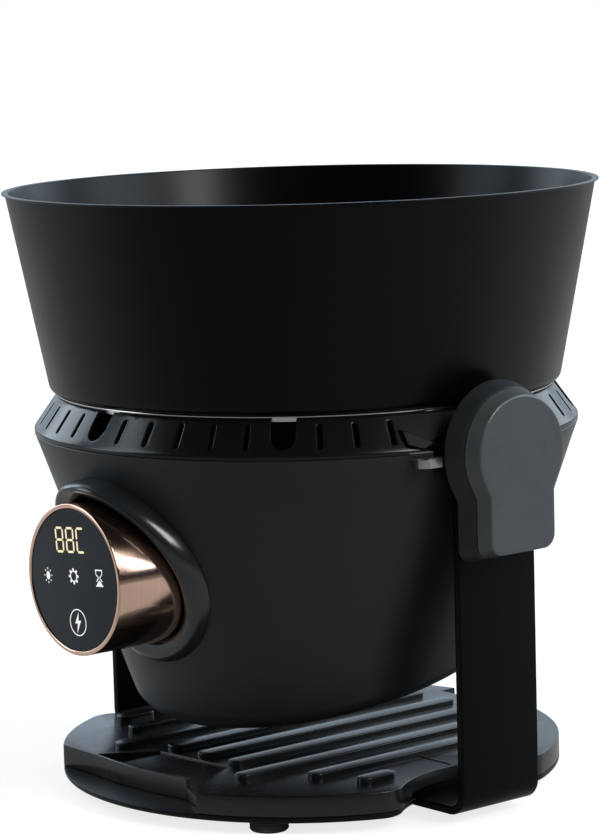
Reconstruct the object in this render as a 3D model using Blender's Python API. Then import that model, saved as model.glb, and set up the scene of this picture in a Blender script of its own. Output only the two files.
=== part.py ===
# Hot pot and grill cooker. A round ribbed grill base stands on four feet, two flat arms rise
# from it, and a heater head hangs between them on side pivots under a lift-off pot.
# Metres, +Z up. The display looks along -Y and the arms stand at +X and -X.

import math

import bmesh
import bpy
from mathutils import Matrix, Vector

MM = 0.001

# Fits and mesh fineness
GAP = 0.3 * MM              # seat between two neighbouring pieces
OVERRUN = 4.0 * MM          # how far a cutter runs past what it cuts
WELD = 0.001 * MM           # doubled points closer than this are one
ROUND_STEPS = 56
MEDIUM_STEPS = 32
SMALL_STEPS = 16
SCREW_STEPS = 8

# Base disc and feet
FOOT_RADIUS = 9.5 * MM
FOOT_HEIGHT = 5.3 * MM
FOOT_PEG_RADIUS = 2.5 * MM
FOOT_X = 72.8 * MM
FOOT_Y = 89.1 * MM
DISC_RADIUS = 127.2 * MM
DISC_THICK = 3.0 * MM
DISC_EDGE = 2.0 * MM
DISC_BOTTOM = FOOT_HEIGHT + GAP
DISC_TOP = DISC_BOTTOM + DISC_THICK
BASE_CENTRE_Y = -2.6 * MM
SCALLOP_RADIUS = 66.0 * MM
SCALLOP_INNER_X = 101.0 * MM
BASE_CORNER = 14.0 * MM
PIN_RADIUS = 3.0 * MM
PIN_HEIGHT = 3.0 * MM
PIN_Y = 70.0 * MM

# Grill plate
PLATE_THICK = 10.4 * MM
PLATE_BOTTOM = DISC_TOP + GAP
PLATE_TOP = PLATE_BOTTOM + PLATE_THICK
PLATE_EDGE = 1.2 * MM
RIB_PITCH = 24.0 * MM
RIB_WIDTH = 9.0 * MM
RIB_RISE = 3.3 * MM
RIB_SOFTENING = 0.8 * MM
RIB_FRONT_Y = -75.8 * MM
RIB_REAR_Y = 96.0 * MM
RIB_REACH_SHARES = {0: (1.0, 1.0), 1: (1.0, 1.0), 2: (1.2, 0.95), 3: (0.85, 0.83)}
SHORT_RIB_SHARES = (0.42, 0.71)
SHORT_RIB_INDEX = 4
RECESS_STEP = 1.0 * MM
RECESS_REAR_Y = -75.4 * MM
RECESS_SLOPE_SHARE = 0.13
FRONT_WALL = 1.8 * MM
FRONT_LINE_SHARES = ((-0.62, -0.805), (-0.362, -0.82), (-0.186, -0.851), (-0.072, -0.847),
                     (0.024, -0.837), (0.124, -0.824), (0.221, -0.813))
RECESS_SIDE_SHARES = ((0.471, -1.1), (0.178, -0.57), (-0.22, -0.601), (-0.37, -0.806))
FRONT_REACH_SHARE = 1.1
FINGER_NOTCH_HALF = 25.5 * MM
FINGER_NOTCH_Y = 111.8 * MM

# Pivot line, arms and bushes
PIVOT_HEIGHT = 182.0 * MM
STRAP_THICK = 4.05 * MM
STRAP_HALF_WIDTH = 25.0 * MM
STRAP_BEND = 6.5 * MM
STRAP_FLOOR_GAP = 4.6 * MM
STRAP_FOOT_X = 84.0 * MM
STRAP_PAD_MARGIN = 4.0 * MM
STRAP_PAD_THICK = 3.0 * MM
STRAP_CLEARANCE = 3.9 * MM
STRAP_SCREW_X = 93.0 * MM
STRAP_SCREW_Y = 12.0 * MM
SCREW_RADIUS = 1.6 * MM
SCREW_HEAD_RADIUS = 3.2 * MM
SCREW_HEAD_THICK = 1.6 * MM
SHAFT_RADIUS = 4.0 * MM
SHAFT_REACH = 18.8 * MM
BUSH_RADIUS = 7.0 * MM
NUT_HUB_RADIUS = 9.0 * MM
NUT_HUB_LENGTH = 3.6 * MM
NUT_FLATS_RADIUS = 7.5 * MM
NUT_LENGTH = 3.2 * MM
WASHER_RADIUS = 14.0 * MM

# Pivot housings: a round head over a narrower tail, tapering outward
HOUSING_ROUND = 33.75 * MM
HOUSING_TAIL_HALF = 25.8 * MM
HOUSING_TAIL_DROP = 52.5 * MM
HOUSING_LOWER = 1.4 * MM
HOUSING_CORNER = 7.0 * MM
HOUSING_WALL = 2.2 * MM
HOUSING_BACK = 1.2 * MM
HOUSING_BASE_DEPTH = 10.2 * MM
HOUSING_CAP_DEPTH = 7.95 * MM
HOUSING_CAP_EDGE = 1.4 * MM
SPLIT_SHARE = 0.89
FACE_SHARE = 0.82
RIM_SHARE = 0.785

# Lock lever, beside the right housing
LEVER_RING_RADIUS = 14.0 * MM
LEVER_THICK = 1.5 * MM
LEVER_TOP_DROP = 1.2 * MM
LEVER_PLATE = 1.3 * MM
LEVER_BLOCK = 3.6 * MM
LEVER_TIP_Y = -45.3 * MM
LEVER_NECK_FRONT_Y = -31.0 * MM
LEVER_NECK_REAR_Y = -27.0 * MM
LEVER_INSET = 0.2 * MM
LEVER_CLEARANCE = 0.7 * MM
LEVER_PLATE_LIP = 0.8 * MM
LEVER_SLOT_DROP = 10.5 * MM

# Keeper on the head, over the lever
KEEPER_PROUD = 2.2 * MM
KEEPER_FRONT_Y = -47.3 * MM
KEEPER_REAR_Y = -31.0 * MM
KEEPER_TALL = 11.0 * MM
KEEPER_UNDERCUT = 4.4 * MM
KEEPER_SHORT = 2.6 * MM
KEEPER_TONGUE = 3.2 * MM
KEEPER_TONGUE_DROP = 1.7 * MM
KEEPER_BACK = 1.2 * MM

# Lower shell: a cone under the pivot line, cut by a tilted bottom
SHELL_RIM_RADIUS = 137.7 * MM
SHELL_SLOPE = 0.348
SHELL_WALL = 3.0 * MM
BOTTOM_CLEARANCE = 38.1 * MM
BOTTOM_TILT = math.radians(13.77)
BOTTOM_FILLET = 13.0 * MM
BOTTOM_FILLET_STEPS = 4
BOTTOM_CENTRE_Y = 8.1 * MM
COVER_RADIUS = 70.0 * MM
COVER_THICK = 1.3 * MM
COVER_LEDGE = 6.0 * MM
COVER_SCREW_LENGTH = 7.0 * MM
COVER_SCREW_COUNT = 4
AIR_SLOT_COUNT = 10
AIR_SLOT_WIDTH = 3.0 * MM
AIR_SLOT_INNER = 22.0 * MM
AIR_SLOT_OUTER = 46.0 * MM
BOSS_RADIUS = 33.75 * MM
BOSS_RECESS_RADIUS = 28.5 * MM
BOSS_FACE_SINK = 6.9 * MM
BOSS_RECESS = 3.0 * MM
BOSS_BACK = 3.5 * MM
BOSS_RELIEF = 0.6 * MM

# Vent ring and trim ring
RING_BAND = 1.9 * MM
RING_HEIGHT = 18.3 * MM
RING_TAPER = 11.7 * MM
RING_LIP = 1.6 * MM
RING_WALL = 2.2 * MM
NOTCH_COUNT = 8
NOTCH_WIDTH = 12.0 * MM
NOTCH_FOOT = 4.7 * MM
SLOTS_BETWEEN = 5
SLOT_MARGIN = 4.0 * MM
SLOT_WIDTH = 2.6 * MM
SLOT_HEIGHT = 11.0 * MM
TRIM_THICK = 0.8 * MM
TRIM_WIDTH = 8.0 * MM
TRIM_PROUD = 0.2 * MM
TRIM_SKIRT_SINK = 2.0 * MM
TRIM_SKIRT_DEPTH = 2.2 * MM

# Pot
POT_HEIGHT = 100.7 * MM
POT_RIM_RADIUS = 150.0 * MM
POT_LIP = 1.8 * MM
POT_LIP_THICK = 0.9 * MM
POT_FOOT_PROUD = 3.0 * MM
POT_WALL = 1.5 * MM
POT_CORNER = 5.0 * MM
POT_FLOOR = 1.5 * MM
PLUG_PLAY = 1.0 * MM
PLUG_DEPTH = 4.4 * MM

# Heater under the pot
DISH_WALL = 1.2 * MM
DISH_PLAY = 0.4 * MM
DISH_FLANGE = 3.8 * MM
DISH_TAPER = 13.0 * MM
DISH_DEPTH = 23.0 * MM
ELEMENT_TUBE = 3.3 * MM
ELEMENT_INNER = 34.0 * MM
ELEMENT_OUTER = 88.0 * MM
ELEMENT_TURNS = 2.5
ELEMENT_LIFT = 7.7 * MM
ELEMENT_POINTS = 60
ELEMENT_BEND_SHARE = 2.5
ELEMENT_TAIL = 16.0 * MM
CLIP_COUNT = 3
CLIP_WIDTH = 6.0 * MM
PAD_RADIUS = 100.0 * MM
PAD_THICK = 4.0 * MM
BRACKET_HUB = 27.0 * MM
BRACKET_THICK = 2.0 * MM
BRACKET_ARM = 14.0 * MM
MOTOR_RADIUS = 21.0 * MM
MOTOR_LENGTH = 26.0 * MM
MOTOR_SHAFT_RADIUS = 2.0 * MM
MOTOR_SHAFT_LENGTH = 16.0 * MM
FAN_HUB_RADIUS = 11.0 * MM
FAN_RADIUS = 52.0 * MM
FAN_HEIGHT = 13.0 * MM
FAN_BLADES = 7
FAN_BLADE_THICK = 1.4 * MM
FAN_PITCH = math.radians(32.0)
FAN_CHORD_SHARE = 0.9
THERMOSTAT_RADIUS = 7.0 * MM
THERMOSTAT_HEIGHT = 8.0 * MM
THERMOSTAT_X = 62.0 * MM

# Knob, display and collar, on an axis that points forward
KNOB_DROP = 61.1 * MM
KNOB_RADIUS = 37.0 * MM
KNOB_WALL = 2.2 * MM
KNOB_PROUD = 11.9 * MM
KNOB_SEAT = 34.7 * MM
KNOB_EDGE = 0.8 * MM
GLASS_THICK = 2.0 * MM
GLASS_SET_BACK = 0.5 * MM
CORE_WALL = 2.5 * MM
CORE_FLANGE = 8.0 * MM
GROOVE_RADIUS = 38.2 * MM
COLLAR_RADIUS = 47.7 * MM
COLLAR_RISE = 9.0 * MM
COLLAR_RISE_SWING = 5.2 * MM
COLLAR_STEPS = 40
COLLAR_SECTION_SHARES = ((0.0, 0.0), (0.0, 0.6), (0.3, 0.86), (0.55, 1.0), (0.78, 0.85), (0.94, 0.45),
                         (1.0, 0.0))
BOARD_WIDTH = 74.0 * MM
BOARD_HEIGHT = 46.0 * MM
BOARD_THICK = 1.6 * MM
BOARD_POST = 3.0 * MM
BOARD_POST_INSET = 10.0 * MM
CHIP_SIZE = 12.0 * MM
CHIP_HEIGHT = 3.0 * MM

# Power inlet at the rear
INLET_DROP = 54.0 * MM
INLET_HALF_WIDTH = 17.0 * MM
INLET_HALF_HEIGHT = 13.0 * MM
INLET_PROUD = 3.0 * MM
INLET_DEPTH = 22.0 * MM
INLET_WALL = 3.0 * MM
INLET_PIN = 2.0 * MM
INLET_PIN_SET_BACK = 8.0 * MM

# Distances that follow from the shell's rim
RING_TOP_RADIUS = SHELL_RIM_RADIUS - RING_TAPER
TRIM_INNER_RADIUS = RING_TOP_RADIUS - TRIM_WIDTH
TRIM_OUTER_RADIUS = RING_TOP_RADIUS + TRIM_PROUD
TRIM_SKIRT_RADIUS = RING_TOP_RADIUS - TRIM_SKIRT_SINK
PLUG_RADIUS = TRIM_INNER_RADIUS - PLUG_PLAY
DISH_FLANGE_RADIUS = TRIM_SKIRT_RADIUS - TRIM_THICK - DISH_PLAY
DISH_RADIUS = DISH_FLANGE_RADIUS - DISH_FLANGE
DISH_FLOOR_RADIUS = DISH_RADIUS - DISH_TAPER
POT_FOOT_RADIUS = RING_TOP_RADIUS + POT_FOOT_PROUD
BOSS_FACE_X = SHELL_RIM_RADIUS - BOSS_FACE_SINK
SHAFT_INNER_X = BOSS_FACE_X - SHAFT_REACH
STRAP_INNER_X = BOSS_FACE_X + STRAP_CLEARANCE
STRAP_OUTER_X = STRAP_INNER_X + STRAP_THICK
KEEPER_OUTER_X = STRAP_INNER_X - KEEPER_BACK
LEVER_OUTER_X = STRAP_OUTER_X - LEVER_INSET
KNOB_FACE_Y = -SHELL_RIM_RADIUS - KNOB_PROUD
KNOB_REAR_Y = -SHELL_RIM_RADIUS + KNOB_SEAT

# Heights that follow
RING_BOTTOM = PIVOT_HEIGHT + GAP
RING_TOP = RING_BOTTOM + RING_HEIGHT
TRIM_BOTTOM = RING_TOP + GAP
TRIM_TOP = TRIM_BOTTOM + TRIM_THICK
POT_BOTTOM = TRIM_TOP + GAP
POT_TOP = POT_BOTTOM + POT_HEIGHT
DISH_TOP = TRIM_BOTTOM - GAP
DISH_FLOOR = DISH_TOP - DISH_DEPTH
ELEMENT_HEIGHT = DISH_FLOOR + ELEMENT_LIFT
PAD_TOP = DISH_FLOOR - DISH_WALL - GAP
BRACKET_TOP = PAD_TOP - PAD_THICK - GAP
MOTOR_TOP = BRACKET_TOP - BRACKET_THICK - GAP
FAN_TOP = MOTOR_TOP - MOTOR_LENGTH - MOTOR_SHAFT_LENGTH + FAN_HEIGHT
BOTTOM_HEIGHT = PLATE_TOP + BOTTOM_CLEARANCE
KNOB_HEIGHT = PIVOT_HEIGHT - KNOB_DROP
INLET_HEIGHT = PIVOT_HEIGHT - INLET_DROP
STRAP_FOOT_TOP = STRAP_FLOOR_GAP + STRAP_THICK
STRAP_PAD_TOP = STRAP_FOOT_TOP + GAP + STRAP_PAD_THICK
LEVER_TOP = PIVOT_HEIGHT - LEVER_TOP_DROP
LEVER_BOTTOM = LEVER_TOP - LEVER_PLATE - LEVER_BLOCK
LEVER_RING_X = STRAP_OUTER_X + GAP + HOUSING_BACK + GAP
SCALLOP_CENTRE_X = SCALLOP_INNER_X + SCALLOP_RADIUS


# Scene and object helpers

def clear_scene():
    for old in list(bpy.data.objects):
        bpy.data.objects.remove(old, do_unlink=True)


def material(name, colour, roughness, metallic=0.0):
    made = bpy.data.materials.new(name)
    made.use_nodes = True
    shader = made.node_tree.nodes["Principled BSDF"]
    shader.inputs["Base Color"].default_value = (*colour, 1.0)
    shader.inputs["Roughness"].default_value = roughness
    shader.inputs["Metallic"].default_value = metallic
    return made


def axis_empty(name, place):
    empty = bpy.data.objects.new(name, None)
    empty.location = place
    bpy.context.scene.collection.objects.link(empty)
    return empty


def mesh_object(name, shape):
    bmesh.ops.remove_doubles(shape, verts=shape.verts, dist=WELD)
    bmesh.ops.recalc_face_normals(shape, faces=shape.faces)
    mesh = bpy.data.meshes.new(name)
    shape.to_mesh(mesh)
    shape.free()
    made = bpy.data.objects.new(name, mesh)
    bpy.context.scene.collection.objects.link(made)
    return made


def combine(piece, tool_shape, operation, solver="EXACT"):
    tool = mesh_object("tool", tool_shape)
    step = piece.modifiers.new("combine", "BOOLEAN")
    step.operation = operation
    step.solver = solver
    step.object = tool
    graph = bpy.context.evaluated_depsgraph_get()
    result = bpy.data.meshes.new_from_object(piece.evaluated_get(graph))
    piece.modifiers.clear()
    shape = bmesh.new()
    shape.from_mesh(result)
    bmesh.ops.remove_doubles(shape, verts=shape.verts, dist=WELD)
    bmesh.ops.dissolve_degenerate(shape, edges=shape.edges, dist=WELD)
    shape.to_mesh(result)
    shape.free()
    piece.data = result
    bpy.data.objects.remove(tool, do_unlink=True)


def cut(piece, tool_shape, solver="EXACT"):
    combine(piece, tool_shape, "DIFFERENCE", solver)


def join(piece, tool_shape, solver="EXACT"):
    combine(piece, tool_shape, "UNION", solver)


def finish(piece, look, parent=None):
    piece.data.materials.clear()
    piece.data.materials.append(look)
    piece.data.shade_smooth()
    piece.data.set_sharp_from_angle(angle=math.radians(32.0))
    if parent is not None:
        piece.data.transform(Matrix.Translation(-parent.location))
        piece.parent = parent
    return piece


# Shape helpers, which add to a bmesh

def add_rod(shape, start, end, radius, steps, end_radius=None):
    start, end = Vector(start), Vector(end)
    along = end - start
    turn = along.to_track_quat("Z", "Y").to_matrix().to_4x4()
    place = Matrix.Translation((start + end) / 2) @ turn
    far_radius = radius if end_radius is None else end_radius
    bmesh.ops.create_cone(shape, cap_ends=True, segments=steps, radius1=radius,
                          radius2=far_radius, depth=along.length, matrix=place)


def rod(start, end, radius, steps, end_radius=None):
    shape = bmesh.new()
    add_rod(shape, start, end, radius, steps, end_radius)
    return shape


def add_box(shape, low, high):
    low, high = Vector(low), Vector(high)
    size = high - low
    place = Matrix.Translation((low + high) / 2) @ Matrix.Diagonal((*size, 1.0))
    bmesh.ops.create_cube(shape, size=1.0, matrix=place)


def box(low, high):
    shape = bmesh.new()
    add_box(shape, low, high)
    return shape


def add_loft(shape, loops):
    rings = [[shape.verts.new(point) for point in loop] for loop in loops]
    count = len(rings[0])
    for lower, upper in zip(rings, rings[1:]):
        for i in range(count):
            j = (i + 1) % count
            shape.faces.new((lower[i], lower[j], upper[j], upper[i]))
    shape.faces.new(rings[0])
    shape.faces.new(rings[-1])


def loft(loops):
    shape = bmesh.new()
    add_loft(shape, loops)
    return shape


def upright(outline, low, high):
    return [[(x, y, z) for x, y in outline] for z in (low, high)]


def turned(profile, steps, closed):
    shape = bmesh.new()
    points = [shape.verts.new((radius, 0, z)) for radius, z in profile]
    ends = points[1:] + (points[:1] if closed else [])
    edges = [shape.edges.new(pair) for pair in zip(points, ends)]
    bmesh.ops.spin(shape, geom=points + edges, cent=(0, 0, 0), axis=(0, 0, 1),
                   angle=math.tau, steps=steps, use_duplicate=False)
    return shape


def moved(shape, matrix):
    bmesh.ops.transform(shape, matrix=matrix, verts=shape.verts)
    return shape


def arc(centre, radius, first, last, count):
    steps = [first + (last - first) * i / (count - 1) for i in range(count)]
    return [(centre[0] + radius * math.cos(a), centre[1] + radius * math.sin(a)) for a in steps]


def stadium(centre, half_width, low, high, count):
    top = arc((centre, high - half_width), half_width, 0, math.pi, count)
    foot = arc((centre, low + half_width), half_width, math.pi, math.tau, count)
    return top + foot


# Base disc, feet and grill plate

def base_outline(inset):
    # a circle with a scallop on each side, its corners rounded by tangent arcs
    reach, span = DISC_RADIUS - BASE_CORNER, SCALLOP_RADIUS + BASE_CORNER
    corner_x = (SCALLOP_CENTRE_X ** 2 - span ** 2 + reach ** 2) / (2 * SCALLOP_CENTRE_X)
    corner_y = math.sqrt(reach ** 2 - corner_x ** 2)
    outward = math.atan2(corner_y, corner_x)
    inward = math.atan2(corner_y, SCALLOP_CENTRE_X - corner_x)
    corner = BASE_CORNER - inset
    half = arc((corner_x, -corner_y), corner, -outward, inward, 6)
    half += arc((SCALLOP_CENTRE_X, 0), SCALLOP_RADIUS + inset, math.pi + inward, math.pi - inward, 11)[1:]
    half += arc((corner_x, corner_y), corner, -inward, outward, 6)[1:]
    half += arc((0, 0), DISC_RADIUS - inset, outward, math.pi - outward, 21)[1:-1]
    return [(sign * x, sign * y + BASE_CENTRE_Y) for sign in (1, -1) for x, y in half]


def base_levels(levels):
    return loft([[(x, y, z) for x, y in base_outline(inset)] for inset, z in levels])


def foot_places():
    return [(x * FOOT_X, y * FOOT_Y + BASE_CENTRE_Y) for x in (-1, 1) for y in (-1, 1)]


def strap_screw_places():
    return [(x * STRAP_SCREW_X, y * STRAP_SCREW_Y) for x in (-1, 1) for y in (-1, 1)]


def strap_seat(clearance, low, high):
    near, half = STRAP_FOOT_X - clearance, STRAP_HALF_WIDTH + clearance
    shape = bmesh.new()
    for side in (-1, 1):
        add_box(shape, (side * near, -half, low), (side * (DISC_RADIUS + OVERRUN), half, high))
    return shape


def base_disc(look):
    edge_top = DISC_BOTTOM + DISC_EDGE
    disc = mesh_object("base_disc", base_levels(((DISC_EDGE, DISC_BOTTOM), (0, edge_top), (0, DISC_TOP))))
    pads = mesh_object("pads", strap_seat(STRAP_PAD_MARGIN, DISC_TOP - GAP, STRAP_PAD_TOP))
    combine(pads, base_levels(((GAP, DISC_BOTTOM), (GAP, STRAP_PAD_TOP + OVERRUN))), "INTERSECT")
    shape = bmesh.new()
    shape.from_mesh(pads.data)
    bpy.data.objects.remove(pads, do_unlink=True)
    join(disc, shape)
    cut(disc, strap_seat(GAP, DISC_BOTTOM - OVERRUN, STRAP_FOOT_TOP + GAP))
    holes = bmesh.new()
    for x, y in foot_places():
        add_rod(holes, (x, y, DISC_BOTTOM - OVERRUN), (x, y, DISC_TOP + OVERRUN),
                FOOT_PEG_RADIUS + GAP, SCREW_STEPS)
    for x, y in strap_screw_places():
        add_rod(holes, (x, y, DISC_BOTTOM), (x, y, STRAP_PAD_TOP + OVERRUN), SCREW_RADIUS + GAP, SCREW_STEPS)
    cut(disc, holes)
    pins = bmesh.new()
    for side in (-1, 1):
        add_rod(pins, (0, side * PIN_Y, DISC_BOTTOM + GAP), (0, side * PIN_Y, DISC_TOP + PIN_HEIGHT),
                PIN_RADIUS, SCREW_STEPS)
    join(disc, pins)
    return finish(disc, look)


def rubber_feet(look):
    peg_top = DISC_TOP - GAP
    names = ("rear_left", "front_left", "rear_right", "front_right")
    places = sorted(foot_places(), key=lambda place: (place[0], -place[1]))
    for name, (x, y) in zip(names, places):
        edge = FOOT_HEIGHT / 6
        profile = [(0, peg_top), (FOOT_PEG_RADIUS, peg_top), (FOOT_PEG_RADIUS, FOOT_HEIGHT)]
        profile += [(FOOT_RADIUS, FOOT_HEIGHT), (FOOT_RADIUS, edge), (FOOT_RADIUS - edge, 0), (0, 0)]
        shape = moved(turned(profile, SMALL_STEPS, False), Matrix.Translation((x, y, 0)))
        finish(mesh_object("rubber_foot_" + name, shape), look)


def rib_runs():
    runs = []
    for index, (front_share, rear_share) in RIB_REACH_SHARES.items():
        for side in {-1, 1} if index else {1}:
            place = side * index * RIB_PITCH
            runs.append((place, RIB_FRONT_Y * front_share, RIB_REAR_Y * rear_share))
    near, far = (share * RIB_FRONT_Y for share in SHORT_RIB_SHARES)
    for side in (-1, 1):
        place = side * SHORT_RIB_INDEX * RIB_PITCH
        runs.append((place, far, near))
        runs.append((place, -near, -far))
    return runs


def rib_shape():
    shape = bmesh.new()
    foot = PLATE_TOP - PLATE_EDGE
    shoulder = PLATE_TOP + RIB_RISE - RIB_SOFTENING
    crest = PLATE_TOP + RIB_RISE
    for x, low, high in rib_runs():
        wide = stadium(x, RIB_WIDTH / 2, low, high, 4)
        narrow = stadium(x, RIB_WIDTH / 2 - RIB_SOFTENING, low + RIB_SOFTENING,
                         high - RIB_SOFTENING, 4)
        levels = ((wide, foot), (wide, shoulder), (narrow, crest))
        add_loft(shape, [[(px, py, z) for px, py in outline] for outline, z in levels])
    return shape


def placed_shares(shares, forward=0):
    return [(x * DISC_RADIUS, y * DISC_RADIUS + BASE_CENTRE_Y + forward) for x, y in shares]


def front_tool(low, high):
    line = placed_shares(FRONT_LINE_SHARES)
    reach = -FRONT_REACH_SHARE * DISC_RADIUS
    return loft(upright(line + [(line[-1][0], reach), (line[0][0], reach)], low, high))


def recess_floor(y):
    return PLATE_TOP - RECESS_STEP - RECESS_SLOPE_SHARE * (RECESS_REAR_Y - y)


def recess_tool(high):
    behind_wall = placed_shares(FRONT_LINE_SHARES[2:], FRONT_WALL)
    mouth_x = behind_wall[-1][0] - FRONT_WALL / 2
    behind_wall[-1] = (mouth_x, behind_wall[-1][1])
    reach = -FRONT_REACH_SHARE * DISC_RADIUS + BASE_CENTRE_Y
    outline = placed_shares(RECESS_SIDE_SHARES) + behind_wall + [(mouth_x, reach)]
    return loft([[(x, y, recess_floor(y)) for x, y in outline], [(x, y, high) for x, y in outline]])


def grill_plate(look, parent):
    levels = ((0, PLATE_BOTTOM), (0, PLATE_TOP - PLATE_EDGE), (PLATE_EDGE, PLATE_TOP))
    plate = mesh_object("grill_plate", base_levels(levels))
    low, high = PLATE_BOTTOM - OVERRUN, PLATE_TOP + OVERRUN
    cut(plate, front_tool(low, high))
    cut(plate, box((-FINGER_NOTCH_HALF, FINGER_NOTCH_Y, low),
                   (FINGER_NOTCH_HALF, DISC_RADIUS + OVERRUN, high)))
    cut(plate, recess_tool(high))
    sockets = strap_seat(STRAP_PAD_MARGIN + GAP, low, STRAP_PAD_TOP + GAP)
    for side in (-1, 1):
        add_rod(sockets, (0, side * PIN_Y, low), (0, side * PIN_Y, DISC_TOP + PIN_HEIGHT + GAP),
                PIN_RADIUS + GAP, SCREW_STEPS)
    cut(plate, sockets)
    join(plate, rib_shape())
    return finish(plate, look, parent)


# Arms

def strap_section(inner, outer, half):
    return [(inner[0], -half, inner[1]), (outer[0], -half, outer[1]),
            (outer[0], half, outer[1]), (inner[0], half, inner[1])]


def strap_loops():
    bend_x = STRAP_INNER_X - STRAP_BEND
    bend_z = STRAP_FOOT_TOP + STRAP_BEND
    loops = [strap_section((STRAP_FOOT_X, STRAP_FOOT_TOP), (STRAP_FOOT_X, STRAP_FLOOR_GAP),
                           STRAP_HALF_WIDTH)]
    inner = arc((bend_x, bend_z), STRAP_BEND, -math.pi / 2, 0, 5)
    outer = arc((bend_x, bend_z), STRAP_BEND + STRAP_THICK, -math.pi / 2, 0, 5)
    loops += [strap_section(a, b, STRAP_HALF_WIDTH) for a, b in zip(inner, outer)]
    for i in range(7):
        turn = math.radians(13.0 * i)
        z = PIVOT_HEIGHT + STRAP_HALF_WIDTH * math.sin(turn)
        loops.append(strap_section((STRAP_INNER_X, z), (STRAP_OUTER_X, z),
                                   STRAP_HALF_WIDTH * math.cos(turn)))
    return loops


def strap(name, side, look):
    shape = moved(loft(strap_loops()), Matrix.Scale(side, 4, (1, 0, 0)))
    piece = mesh_object(name, shape)
    cut(piece, rod((side * (STRAP_INNER_X - OVERRUN), 0, PIVOT_HEIGHT),
                   (side * (STRAP_OUTER_X + OVERRUN), 0, PIVOT_HEIGHT), BUSH_RADIUS + GAP, SMALL_STEPS))
    x, low = side * STRAP_SCREW_X, STRAP_FLOOR_GAP - OVERRUN
    seat_top = STRAP_FLOOR_GAP + SCREW_HEAD_THICK + GAP
    for radius, high in ((SCREW_RADIUS, STRAP_FOOT_TOP + OVERRUN), (SCREW_HEAD_RADIUS, seat_top)):
        holes = bmesh.new()
        for y in (-STRAP_SCREW_Y, STRAP_SCREW_Y):
            add_rod(holes, (x, y, low), (x, y, high), radius + GAP, SCREW_STEPS)
        cut(piece, holes)
    return finish(piece, look)


def screw_shape(head_low, head_top, shank_top):
    profile = [(0, shank_top), (SCREW_RADIUS, shank_top), (SCREW_RADIUS, head_top)]
    profile += [(SCREW_HEAD_RADIUS, head_top), (SCREW_HEAD_RADIUS, head_low), (0, head_low)]
    return turned(profile, SCREW_STEPS, False)


def strap_screws(look):
    for i, (x, y) in enumerate(strap_screw_places()):
        shape = screw_shape(STRAP_FLOOR_GAP, STRAP_FLOOR_GAP + SCREW_HEAD_THICK, STRAP_PAD_TOP - GAP)
        moved(shape, Matrix.Translation((x, y, 0)))
        finish(mesh_object(f"strap_screw_{i + 1}", shape), look)


# Pivots: shaft, spacer washer, bush and nut on each side

def along_x(shape, side, start_x):
    turn = Matrix.Rotation(math.radians(90.0), 4, "Y")
    mirror = Matrix.Scale(side, 4, (1, 0, 0))
    return moved(shape, mirror @ Matrix.Translation((start_x, 0, PIVOT_HEIGHT)) @ turn)


def sleeve(inner, outer, length):
    return turned([(outer, length), (outer, 0), (inner, 0), (inner, length)], SMALL_STEPS, True)


def pivot_parts(tag, side, looks, head):
    bore = SHAFT_RADIUS + GAP
    washer_x = BOSS_FACE_X - BOSS_RECESS + GAP
    washer = along_x(sleeve(bore, WASHER_RADIUS, STRAP_INNER_X - GAP - washer_x), side, washer_x)
    finish(mesh_object("spacer_washer_" + tag, washer), looks["nylon"], head)
    bush = along_x(sleeve(bore, BUSH_RADIUS, STRAP_THICK), side, STRAP_INNER_X)
    finish(mesh_object("pivot_bush_" + tag, bush), looks["brass"])
    nut_x = STRAP_OUTER_X + GAP
    nut_profile = [(NUT_HUB_RADIUS, NUT_HUB_LENGTH), (NUT_HUB_RADIUS, 0), (bore, 0)]
    nut_profile += [(bore, NUT_HUB_LENGTH + NUT_LENGTH), (NUT_FLATS_RADIUS, NUT_HUB_LENGTH + NUT_LENGTH)]
    nut_profile += [(NUT_FLATS_RADIUS, NUT_HUB_LENGTH)]
    nut = along_x(turned(nut_profile, 18, True), side, nut_x)
    finish(mesh_object("shaft_nut_" + tag, nut), looks["steel"], head)
    shaft_end = nut_x + NUT_HUB_LENGTH + NUT_LENGTH + GAP
    shaft = rod((side * SHAFT_INNER_X, 0, PIVOT_HEIGHT), (side * shaft_end, 0, PIVOT_HEIGHT),
                SHAFT_RADIUS, SMALL_STEPS)
    finish(mesh_object("pivot_shaft_" + tag, shaft), looks["steel"], head)


# Pivot housings

def housing_outline(share, inset, x, side):
    radius = HOUSING_ROUND * share - inset
    half = HOUSING_TAIL_HALF * share - inset
    low = -HOUSING_TAIL_DROP * (1 + share) / 2 + inset
    corner = HOUSING_CORNER - inset
    neck = math.acos(half / radius)
    outline = arc((0, 0), radius, -neck, math.pi + neck, 19)
    outline += arc((-half + corner, low + corner), corner, math.pi, 1.5 * math.pi, 4)
    outline += arc((half - corner, low + corner), corner, 1.5 * math.pi, math.tau, 4)
    return [(side * x, y, PIVOT_HEIGHT - HOUSING_LOWER + z) for y, z in outline]


def lever_slot():
    low = (STRAP_OUTER_X, LEVER_NECK_FRONT_Y - GAP, PIVOT_HEIGHT - LEVER_SLOT_DROP)
    high = (LEVER_RING_X + LEVER_THICK, LEVER_NECK_REAR_Y + LEVER_THICK, LEVER_TOP + GAP)
    return box(low, high)


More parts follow.
